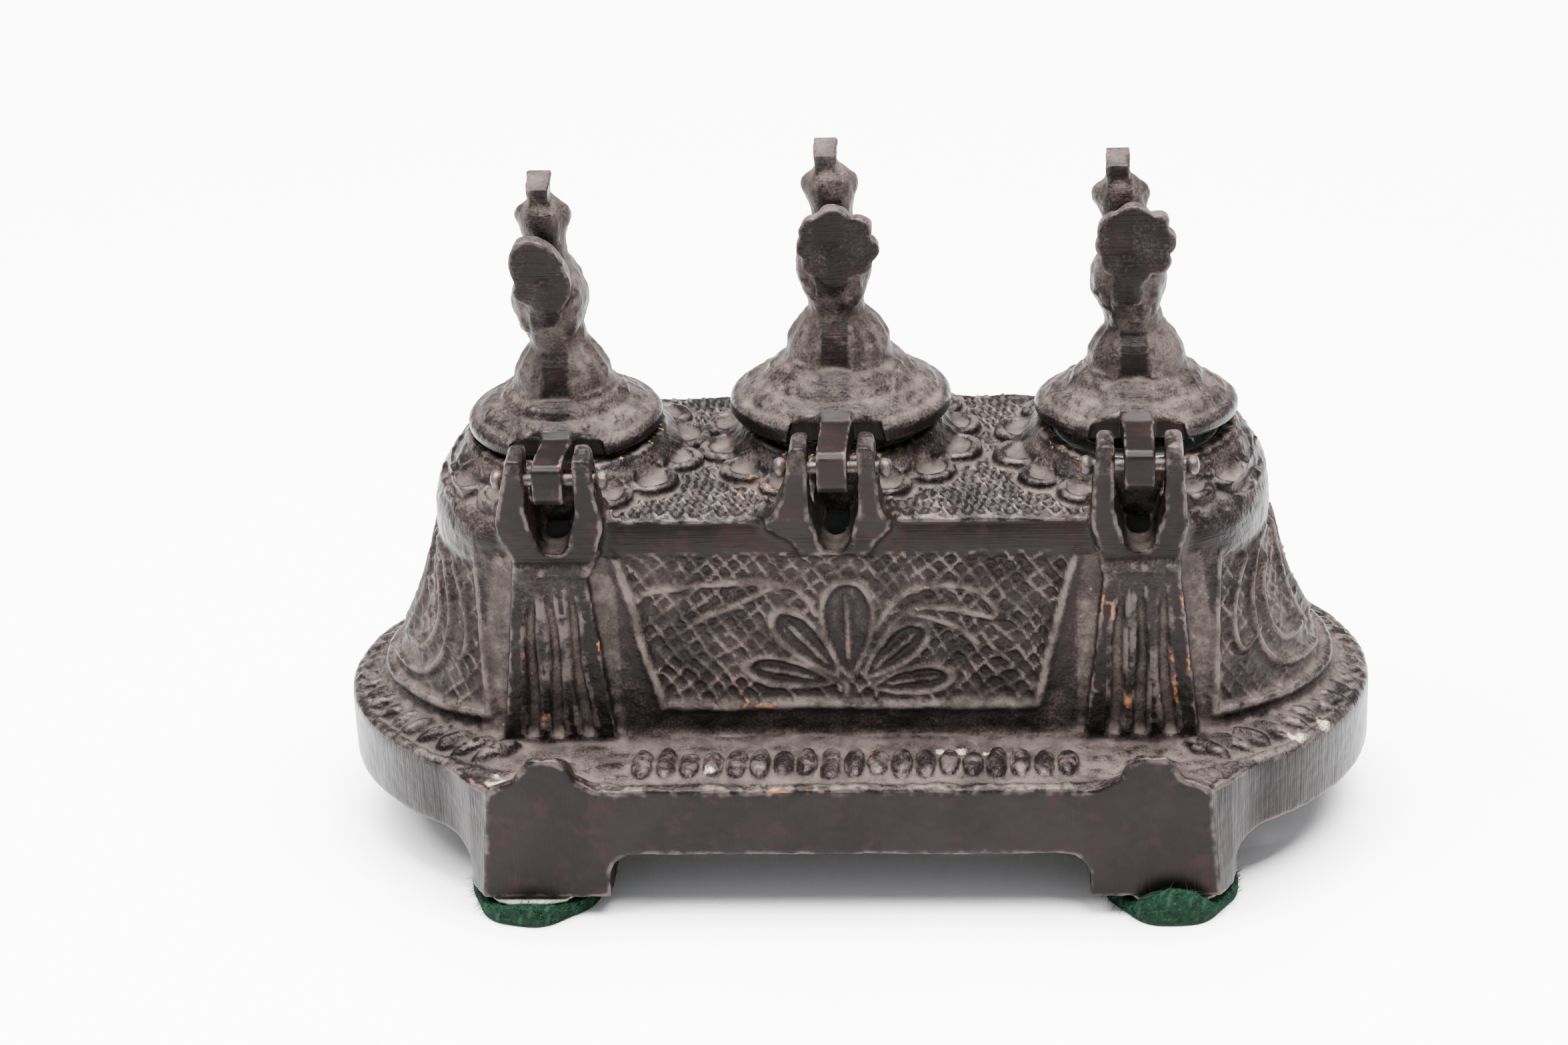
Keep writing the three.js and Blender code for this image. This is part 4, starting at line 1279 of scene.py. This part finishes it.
def lid_marks(lid, skin):
    """Displaces a lid's skin by its cast surface and returns the marks that its material reads."""
    points, normals = skin.points, skin.normals()
    x, y, z = points.T
    radius = np.hypot(x, y)
    heading = np.arctan2(y, x)
    seed = lid.seed
    under = z < 0.4
    disc = (z < lid.boss_foot + 0.8) & ~under
    boss = (z >= lid.boss_foot + 0.6) & (z < lid.base + 0.5) & (radius > 2.5)
    bird = z >= lid.base + 0.5
    relief = np.zeros(len(x))
    hammered = 0.42 * cloud(points, 2.8, seed) + 0.14 * noise(points, 1.0, seed + 3)
    hammered *= 1 - 0.75 * step_up(radius, lid.radius - 2.8, lid.radius - 0.9)
    relief += np.where(disc & (normals[:, 2] > 0.25), hammered, 0.04 * noise(points, 2.0, seed + 4))
    folds = np.cos(heading * 13 + 1.3 * noise(points, 5.0, seed + 6))
    folds *= 0.5 + 0.5 * noise(points, 4.0, seed + 7)
    upper = step_up(z, lid.boss_foot + 1.2, lid.boss_foot + 3.5)
    relief += np.where(boss, 0.26 * folds * upper + 0.08 * noise(points, 1.1, seed + 8), 0)
    feathers = 0.17 * noise(points, (1.5, 1.5, 2.1), seed + 10) + 0.09 * noise(points, 0.8, seed + 11)
    tail = (normals[:, 1] > 0.8) & (y > TAIL_FACE - 0.5) & bird
    brow = (np.abs(x - lid.at(20)[0]) < 1.7) & (normals[:, 1] > 0.3) & (z > lid.base + 13)
    crest = (z > lid.base + 19.6) & (np.abs(normals[:, 2]) > 0.5)
    flat = tail | brow | crest
    strip = boss & (normals[:, 1] > 0.35) & (np.abs(x - 0.35) < 1.9)
    tang = (np.abs(x) < TANG_WIDTH / 2 + 0.1) & (y > lid.radius - 3.2)
    path = disc & (np.abs(x - 0.3) < 2.2) & (y > lid.boss) & (normals[:, 2] > 0.3)
    relief += np.where(bird & ~flat, feathers, 0)
    calm = (flat | strip | tang) * 0.75 + path * 0.5
    skin.points = points + normals * (relief * (1 - calm))[:, None]
    marks = {"filed_h": (tail | strip | path | brow) * 1.0}
    side = (np.abs(normals[:, 2]) < 0.4) & (z < lid.thickness) & (z > 0.2)
    marks["filed_v"] = (side & (y > lid.radius - 5)) * 1.0
    marks["smooth"] = (tang | (side & ~path)) * 0.9 + (brow | path) * 0.35 + strip * 0.7 + tail * 0.55
    marks["ring"] = np.zeros(len(x))
    marks["tint"] = np.where(bird | boss, 0.26, 0.0) + np.where(disc, 0.10, 0.0) - np.where(under, 0.3, 0.0)
    return marks


def build_lid(lid, material):
    """One lid with its boss, bird and tang, made in its own frame and then tilted into place."""
    low = (-lid.radius - 2, -lid.radius - 2, -6)
    hook = lid.inward(lid.well.pin_y + 5, lid.well.pin_z)[0]
    high = (lid.radius + 2, hook + 1, lid.base + 28)
    grid = Grid(low, high, LID_STEP)
    add_disc(grid, lid)
    add_notches(grid, lid)
    add_tang(grid, lid)
    add_bird(grid, lid)
    skin = skin_of(grid)
    skin.relax(2)
    marks = lid_marks(lid, skin)
    skin.relax(1, 0.35)
    marks["chalk"] = np.zeros(len(skin.points))
    marks = finish_marks(skin, marks, lid.seed + 30)
    name = "lid_" + lid.place
    piece = make_object("bird_" + name, lid.outward(skin.points), skin.quads, material, marks)
    settle(piece, name, name)


# ---- hinge pins, ink pots, felt pads ----


def build_pin(well, material):
    """A cut wire pin with two hammered nubs."""
    low, high = box_mm("hinge_pin_" + well.place)
    grid = Grid(low - 1, high + 1, 0.16)
    shank = rod_x(PIN_RADIUS - 0.02, well.pin_x, well.pin_y, well.pin_z, 2 * well.pin_half - 1.6)
    grid.add(low, high, shank)
    for side in BOTH:
        centre = (well.pin_x + side * (well.pin_half - 0.85), well.pin_y, well.pin_z + 0.1 * side)
        nub = ellipsoid(centre, (0.95, 1.5, 1.4))
        grid.add(np.array(centre) - 1.8, np.array(centre) + 1.8, nub, 0.25)
        stem = rod_x(1.15, centre[0], well.pin_y, well.pin_z, 1.3)
        grid.add(np.array(centre) - 1.8, np.array(centre) + 1.8, stem, 0.3)
    skin = skin_of(grid)
    skin.relax(2)
    seed = 500 + int(well.pin_x)
    lumps = 0.10 * noise(skin.points, 1.1, seed) * step_up(np.abs(skin.points[:, 0] - well.pin_x), 6.0, 7.0)
    skin.points = skin.points + skin.normals() * lumps[:, None]
    piece = make_object("pin_" + well.place, skin.points, skin.quads, material)
    settle(piece, "stand", "hinge_pin_" + well.place)


def revolve(profile, x, y, segments):
    """Points and quads of a closed outline of radius and height turned about a vertical axis."""
    count = len(profile)
    angles = np.arange(segments) * 2 * math.pi / segments
    points = np.array([(x + r * math.cos(a), y + r * math.sin(a), z) for a in angles for r, z in profile])
    quads = []
    for i in range(segments):
        here, there = i * count, (i + 1) % segments * count
        for j in range(count - 1):
            quads.append((here + j, there + j, there + j + 1, here + j + 1))
    return points, np.array(quads)


def rounded(corners, radius):
    """An open outline with its inner corners rounded."""
    line = [corners[0]]
    for a, b, c in zip(corners, corners[1:], corners[2:]):
        a, b, c = np.array(a, float), np.array(b, float), np.array(c, float)
        reach = min(radius, np.linalg.norm(a - b) / 2.1, np.linalg.norm(c - b) / 2.1)
        start = b + (a - b) / np.linalg.norm(a - b) * reach
        finish = b + (c - b) / np.linalg.norm(c - b) * reach
        for t in np.arange(6) / 5:
            line.append(tuple((1 - t) ** 2 * start + 2 * t * (1 - t) * b + t * t * finish))
    line.append(corners[-1])
    return line


def build_pot(well, material):
    """A blown glass pot with a flat lip, a round foot and a small push-up in its base."""
    top, bottom = well.pot_top, well.pot_bottom
    outer = well.rim - POT_LIP
    inner = outer - 1.8
    corners = [
        (0.02, bottom + 1.0),
        (outer - 4.5, bottom + 0.5),
        (outer - 2.2, bottom),
        (outer, bottom + 2.4),
        (outer, top - POT_LIP),
        (well.rim, top - POT_LIP),
        (well.rim, top),
        (inner, top),
        (inner, bottom + 4.2),
        (inner - 2.4, bottom + 2.3),
        (0.02, bottom + 2.7),
    ]
    points, quads = revolve(rounded(corners, 1.1), well.x, well.y, 72)
    piece = make_object("pot_" + well.place, points, quads, material)
    close_ends(piece)
    settle(piece, "stand", "ink_pot_" + well.place)


def close_ends(piece):
    """Welds the points on a turned shape's axis and faces everything outwards."""
    made = bmesh.new()
    made.from_mesh(piece.data)
    bmesh.ops.remove_doubles(made, verts=made.verts, dist=0.00006)
    bmesh.ops.recalc_face_normals(made, faces=made.faces)
    made.to_mesh(piece.data)
    made.free()


PAD_PLACES = ("front_left", "front_right", "rear_left", "rear_right")
# How far each pad's edge turns up against its foot, in millimetres.
CURLS = {"front_left": 0.6, "front_right": 0.6, "rear_left": 3.4, "rear_right": 1.0}


def pad_surface(centre, radius, bottom, top, seed, curl):
    """A closed lumpy disc of felt. Its outer rim turns up against the foot by the given height."""
    rings, segments = 13, 120
    profile = [(radius * i / rings, bottom) for i in range(rings)]
    profile += [(radius * (1 - 0.01), bottom + 0.25), (radius, bottom + 0.8), (radius, top - 0.8)]
    profile += [(radius * (1 - 0.012), top - 0.2)]
    profile += [(radius * (rings - i) / rings, top) for i in range(1, rings + 1)]
    profile[0] = (0.02, bottom)
    profile[-1] = (0.02, top)
    points, quads = revolve(profile, centre[0], centre[1], segments)
    out = points[:, :2] - centre[:2]
    angle = np.arctan2(out[:, 1], out[:, 0])
    reach = np.hypot(out[:, 0], out[:, 1]) / radius
    wave = 0.35 * np.sin(3 * angle + seed) + 0.22 * np.sin(7 * angle + 2 * seed)
    outward = out / np.maximum(reach[:, None] * radius, TINY)
    points[:, :2] += outward * (wave * reach**3 - 0.1 * reach)[:, None]
    lump = 0.16 * cloud(points, 1.6, 600 + seed) + 0.10 * noise(points, 0.6, 610 + seed)
    above = step_up(points[:, 2], bottom + 0.3, bottom + 1.2)
    side = np.sign(centre[1])
    beyond = points[:, 1] * side - FOOT_FACE
    lift = curl * step_up(beyond, 0.1, 1.5) * bump(points[:, 0] - centre[0], 6.5)
    points[:, 2] += lump * above + lift * above
    points[:, 1] -= side * 0.175 * lift * above
    points[:, 2] = np.maximum(points[:, 2], bottom)
    return points, quads


def fibres(points, count, seed):
    """Short bent hairs rooted on the felt, as thin three-sided tubes."""
    random = np.random.default_rng(seed)
    roots = points[random.integers(0, len(points), count * 3)]
    middle = points.mean(0)
    out = roots - middle
    keep = (np.hypot(out[:, 0], out[:, 1]) > 6.4) & (roots[:, 2] > points[:, 2].min() + 0.25)
    roots, out = roots[keep][:count], out[keep][:count]
    heading = out * (1, 1, 0.2) / 9 + random.normal(0, 0.9, out.shape)
    heading[:, 2] = np.abs(heading[:, 2]) * 0.45
    heading /= np.linalg.norm(heading, axis=1, keepdims=True)
    bend = random.normal(0, 0.5, out.shape)
    length = random.uniform(0.6, 2.0, len(roots))[:, None]
    places, faces = [], []
    steps, radius = 4, 0.045
    for step in range(steps + 1):
        t = step / steps
        line = roots + heading * length * (t - 0.15) + bend * length * t * t * 0.5
        line[:, 2] = np.maximum(line[:, 2], 0.06)
        for corner in range(3):
            turn = corner * 2 * math.pi / 3
            size = radius * (1 - 0.6 * t)
            places.append(line + size * np.array([math.cos(turn), math.sin(turn), math.sin(turn + 1)]))
    places = np.stack(places, 1)
    per = places.shape[1]
    for step in range(steps):
        for corner in range(3):
            a, b = step * 3 + corner, step * 3 + (corner + 1) % 3
            faces.append((a, b, b + 3, a + 3))
    faces = np.array(faces)
    offsets = np.arange(len(roots))[:, None, None] * per
    return places.reshape(-1, 3), (faces[None] + offsets).reshape(-1, 4)


def build_pad(place, index, felt, paper):
    """A felt pad with its fibres, and the backing over it."""
    low, high = box_mm("felt_pad_" + place)
    centre = (low + high) / 2
    radius = (high[0] - low[0]) / 2 - 0.15
    points, quads = pad_surface(centre, radius, low[2], high[2], index + 1, CURLS[place])
    hairs, hair_quads = fibres(points, 2000, 700 + index)
    everything = np.concatenate([points, hairs])
    marks = {"hair": np.arange(len(everything)) >= len(points)}
    all_quads = np.concatenate([quads, hair_quads + len(points)])
    piece = make_object("felt_" + place, everything, all_quads, felt, marks)
    close_ends(piece)
    settle(piece, "stand", "felt_pad_" + place)
    build_backing(place, index, paper)


def build_backing(place, index, paper):
    """The thin ragged film of dried glue between a pad and its foot."""
    low, high = box_mm("pad_backing_" + place)
    centre = (low + high) / 2
    radius = FOOT_FACE + 0.9 - abs(centre[1])
    profile = [(0.02, low[2])] + [(radius * i / 8, low[2]) for i in range(1, 9)]
    profile += [(radius * i / 8, high[2]) for i in range(8, 0, -1)] + [(0.02, high[2])]
    points, quads = revolve(profile, centre[0], centre[1], 96)
    out = points[:, :2] - centre[:2]
    reach = np.hypot(out[:, 0], out[:, 1]) / radius
    angle = np.arctan2(out[:, 1], out[:, 0])
    wave = 0.3 * np.sin(5 * angle + index) + 0.25 * noise(points, 1.2, 650 + index)
    points[:, :2] += out / np.maximum(reach[:, None] * radius, TINY) * (wave * reach**2)[:, None]
    piece = make_object("glue_" + place, points, quads, paper)
    close_ends(piece)
    settle(piece, "stand", "pad_backing_" + place)


# ---- materials ----


class Nodes:
    """Short calls for adding shader nodes to one material."""

    def __init__(self, name):
        self.material = bpy.data.materials.new(name)
        self.material.use_nodes = True
        self.tree = self.material.node_tree
        self.tree.nodes.clear()
        output = self.node("OutputMaterial")
        self.shader = self.node("BsdfPrincipled")
        self.tree.links.new(self.shader.outputs[0], output.inputs[0])
        self.place = self.node("TexCoord").outputs["Object"]

    def node(self, kind, **settings):
        """A new node with its settings. Each one names an input, or else a property of the node."""
        made = self.tree.nodes.new("ShaderNode" + kind)
        for name, value in settings.items():
            if hasattr(made, name):
                setattr(made, name, value)
            else:
                self.connect(value, made.inputs[name.replace("_", " ")])
        return made

    def connect(self, value, socket):
        if isinstance(value, bpy.types.NodeSocket):
            self.tree.links.new(value, socket)
        else:
            socket.default_value = value

    def set(self, **values):
        for name, value in values.items():
            self.shader.inputs[name.replace("_", " ")].default_value = value

    def link(self, source, name):
        self.tree.links.new(source, self.shader.inputs[name])

    def mark(self, name):
        return self.node("Attribute", attribute_name=name).outputs["Fac"]

    def math(self, operation, *values):
        node = self.node("Math", operation=operation)
        for value, socket in zip(values, node.inputs):
            self.connect(value, socket)
        return node.outputs[0]

    def times(self, a, b):
        return self.math("MULTIPLY", a, b)

    def scaled(self, factors):
        return self.node("Mapping", Vector=self.place, Scale=factors).outputs[0]

    def noise(self, scale, detail, roughness, vector=None):
        place = vector or self.place
        made = self.node("TexNoise", Vector=place, Scale=scale, Detail=detail, Roughness=roughness)
        return made.outputs["Fac"]

    def between(self, value, low, high):
        """0 below low, 1 above high."""
        node = self.node("MapRange", Value=value, From_Min=low, From_Max=high)
        node.interpolation_type = "SMOOTHSTEP"
        return node.outputs["Result"]

    def mix(self, share, a, b):
        node = self.node("Mix", data_type="RGBA", Factor=share)
        for value, socket in ((a, node.inputs[6]), (b, node.inputs[7])):
            self.connect((*value, 1.0) if isinstance(value, tuple) else value, socket)
        return node.outputs[2]

    def over(self, colour, cover, strength, tone):
        """A colour with a tone laid over it where the cover is."""
        return self.mix(self.times(cover, strength), colour, tone)

    def bump(self, height, distance):
        self.link(self.node("Bump", Height=height, Distance=distance).outputs[0], "Normal")


def bronze():
    """Dark brown patina, grey-brown dust in the hollows, painted shade in small hollows, a painted pale
    sheen on convex edges, copper where edges are worn, file marks.
    """
    n = Nodes("patinated_bronze")
    # The dust mark holds real dust and also painted light and shade on the ridges and hollows of upright
    # faces.
    dust = n.mark("dust")
    smooth = n.mark("smooth")
    grain = n.noise(2400, 3, 0.6)
    mottle = n.noise(260, 4, 0.6)
    broad = n.noise(70, 3, 0.55)
    dark = n.mix(n.between(broad, 0.4, 0.64), (0.0042, 0.0029, 0.0030), (0.0064, 0.0044, 0.0042))
    maroon = n.mix(n.between(mottle, 0.52, 0.7), dark, (0.0095, 0.0043, 0.0044))
    pale = n.mix(n.between(mottle, 0.35, 0.65), (0.026, 0.0195, 0.0180), (0.056, 0.0430, 0.0390))
    speckled = n.math("MULTIPLY_ADD", n.math("SUBTRACT", grain, 0.5), 0.9, dust)
    veil = n.between(speckled, 0.12, 0.86)
    colour = n.mix(veil, maroon, pale)
    # Painted shade: a near-black colour laid into small hollows where shade would fall.
    painted_hollow_shade = n.times(n.mark("painted_hollow_shade"), n.between(grain, 0.2, 0.5))
    colour = n.over(colour, painted_hollow_shade, 0.8, (0.006, 0.0045, 0.0045))
    edge = n.mark("edge")
    # Painted highlight: convex edges are patchily lightened to a pale grey, a sheen painted into the
    # colour.
    painted_edge_sheen = n.times(n.between(edge, 0.25, 0.9), n.between(mottle, 0.42, 0.6))
    colour = n.over(colour, painted_edge_sheen, 0.4, (0.082, 0.067, 0.062))
    rare = n.times(n.between(edge, 0.45, 1.0), n.between(n.noise(120, 4, 0.7), 0.63, 0.70))
    colour = n.over(colour, rare, 0.85, (0.17, 0.066, 0.028))
    flecks = n.between(n.noise(900, 2, 0.5), 0.71, 0.76)
    flecks = n.times(flecks, n.between(dust, 0.45, 0.7))
    colour = n.over(colour, flecks, 0.5, (0.17, 0.105, 0.055))
    ring = n.mark("ring")
    brassy = n.times(ring, n.between(n.noise(1100, 3, 0.6), 0.6, 0.68))
    colour = n.over(colour, brassy, 0.75, (0.17, 0.13, 0.05))
    chalk = n.times(n.mark("chalk"), n.between(grain, 0.3, 0.55))
    colour = n.over(colour, chalk, 0.85, (0.34, 0.285, 0.225))
    n.link(colour, "Base Color")
    rough = n.math("MULTIPLY_ADD", veil, 0.34, 0.40)
    rough = n.math("MULTIPLY_ADD", n.math("SUBTRACT", mottle, 0.5), 0.25, rough)
    n.link(rough, "Roughness")
    n.link(n.math("MULTIPLY_ADD", veil, -0.25, 0.35), "Metallic")
    n.set(Specular_IOR_Level=0.065)
    upright = n.noise(1.0, 2, 0.6, n.scaled((3200, 3200, 90)))
    level = n.noise(1.0, 2, 0.6, n.scaled((110, 110, 3400)))
    strokes = n.math("ADD", n.times(upright, n.mark("filed_v")), n.times(level, n.mark("filed_h")))
    sand = n.math("ADD", n.noise(1500, 3, 0.65), n.times(n.noise(420, 3, 0.6), 1.4))
    sand = n.times(sand, n.math("MULTIPLY_ADD", smooth, -0.82, 1.0))
    height = n.math("ADD", n.times(strokes, 0.55), sand)
    n.bump(height, 0.00016)
    return n.material


def pin_brass():
    """Dull brass gone brown, with rubbed copper-coloured patches."""
    n = Nodes("pin_brass")
    patch = n.between(n.noise(700, 4, 0.6), 0.5, 0.66)
    colour = n.mix(patch, (0.020, 0.014, 0.013), (0.10, 0.045, 0.026))
    colour = n.mix(n.between(n.noise(1800, 2, 0.6), 0.5, 0.66), colour, (0.045, 0.035, 0.032))
    n.link(colour, "Base Color")
    n.link(n.math("MULTIPLY_ADD", patch, -0.15, 0.5), "Roughness")
    n.set(Metallic=0.6)
    n.bump(n.noise(2500, 3, 0.6), 0.00008)
    return n.material


def pot_glass():
    """Pale greenish glass, with a little dried ink that has stayed low in the pot."""
    n = Nodes("pot_glass")
    split = n.node("SeparateXYZ", Vector=n.place)
    level = n.math("MULTIPLY_ADD", n.noise(120, 3, 0.6), 0.006, split.outputs[2])
    stain = n.between(level, (WELLS[0].pot_bottom + 9) * MM, (WELLS[0].pot_bottom + 5) * MM)
    n.link(n.mix(stain, (0.82, 0.90, 0.87), (0.10, 0.12, 0.20)), "Base Color")
    n.link(n.math("MULTIPLY_ADD", n.noise(300, 3, 0.6), 0.12, 0.02), "Roughness")
    n.set(IOR=1.5, Transmission_Weight=0.9)
    n.bump(n.noise(90, 2, 0.5), 0.0002)
    return n.material


def green_felt():
    """Deep green pressed wool."""
    n = Nodes("green_felt")
    tone = n.between(n.noise(900, 4, 0.65), 0.35, 0.68)
    colour = n.mix(tone, (0.0008, 0.0050, 0.0024), (0.0028, 0.0150, 0.0070))
    colour = n.mix(n.between(n.noise(3000, 2, 0.6), 0.62, 0.72), colour, (0.012, 0.046, 0.024))
    colour = n.over(colour, n.mark("hair"), 0.6, (0.014, 0.050, 0.027))
    n.link(colour, "Base Color")
    n.set(Roughness=0.95, Specular_IOR_Level=0.1)
    n.bump(n.noise(2200, 4, 0.7), 0.0003)
    return n.material


def dried_glue():
    """A yellowed, slightly dirty film."""
    n = Nodes("backing_paper")
    tone = n.between(n.noise(500, 4, 0.6), 0.35, 0.65)
    n.link(n.mix(tone, (0.09, 0.076, 0.052), (0.19, 0.17, 0.13)), "Base Color")
    n.set(Roughness=0.7)
    n.bump(n.noise(1200, 3, 0.6), 0.0002)
    return n.material


# ---- the view ----

VIEW_AZIMUTH = math.radians(184.55)
VIEW_ELEVATION = math.radians(27.6)
VIEW_ROLL = math.radians(-2.61)
VIEW_DISTANCE = 0.580
VIEW_TARGET = Vector((0.01009, -0.0015, 0.045))
LENS = 90.0


def add_camera():
    """The photograph's viewpoint: round the object, up, and rolled a little."""
    level = math.cos(VIEW_ELEVATION)
    back = Vector(
        (math.sin(VIEW_AZIMUTH) * level, -math.cos(VIEW_AZIMUTH) * level, math.sin(VIEW_ELEVATION))
    )
    right = Vector((0, 0, 1)).cross(back).normalized()
    up = back.cross(right)
    turned_right = right * math.cos(VIEW_ROLL) + up * math.sin(VIEW_ROLL)
    turned_up = up * math.cos(VIEW_ROLL) - right * math.sin(VIEW_ROLL)
    camera = bpy.data.objects.new("camera", bpy.data.cameras.new("camera"))
    camera.data.lens = LENS
    camera.data.sensor_width = 36.0
    camera.data.clip_start = 0.01
    camera.data.clip_end = 20.0
    turn = Matrix((turned_right, turned_up, back)).transposed().to_4x4()
    camera.matrix_world = Matrix.Translation(VIEW_TARGET + back * VIEW_DISTANCE) @ turn
    bpy.context.scene.collection.objects.link(camera)
    bpy.context.scene.camera = camera


def add_light(name, place, target, size, power):
    """A soft white panel that faces its target."""
    light = bpy.data.lights.new(name, "AREA")
    light.shape = "RECTANGLE"
    light.size, light.size_y = size
    light.energy = power
    lamp = bpy.data.objects.new(name, light)
    lamp.location = place
    aim = Vector(target) - Vector(place)
    lamp.rotation_euler = aim.to_track_quat("-Z", "Y").to_euler()
    bpy.context.scene.collection.objects.link(lamp)


def add_floor():
    """The pale plain surface that everything stands on."""
    n = Nodes("floor_white")
    tone = n.mix(n.noise(3, 2, 0.5), (0.86, 0.86, 0.87), (0.90, 0.90, 0.905))
    n.link(tone, "Base Color")
    n.set(Roughness=0.6)
    reach = 6000
    corners = [(-reach, -reach, 0), (reach, -reach, 0), (reach, reach, 0), (-reach, reach, 0)]
    floor = make_object("floor", corners, [(0, 1, 2, 3)], n.material)


def add_surroundings():
    """An even pale sky, a broad light overhead and a smaller one from the right."""
    world = bpy.data.worlds.new("studio")
    world.use_nodes = True
    sky = world.node_tree.nodes["Background"]
    sky.inputs["Color"].default_value = (0.96, 0.97, 1.0, 1.0)
    sky.inputs["Strength"].default_value = 0.9
    bpy.context.scene.world = world
    add_light("key", (0.5, 0.15, 0.95), (0, 0, 0.04), (0.5, 0.5), 30)
    add_light("top", (-0.1, -0.1, 1.3), (0, 0, 0.0), (1.4, 1.0), 245)


# ---- the scene ----

add_camera()
add_surroundings()
add_floor()
BRONZE = bronze()
BRASS = pin_brass()
GLASS = pot_glass()
FELT = green_felt()
GLUE = dried_glue()
build_stand(BRONZE)
for one_lid in LIDS:
    build_lid(one_lid, BRONZE)
for one_well in WELLS:
    build_pin(one_well, BRASS)
    build_pot(one_well, GLASS)
for order, pad_place in enumerate(PAD_PLACES):
    build_pad(pad_place, order, FELT, GLUE)
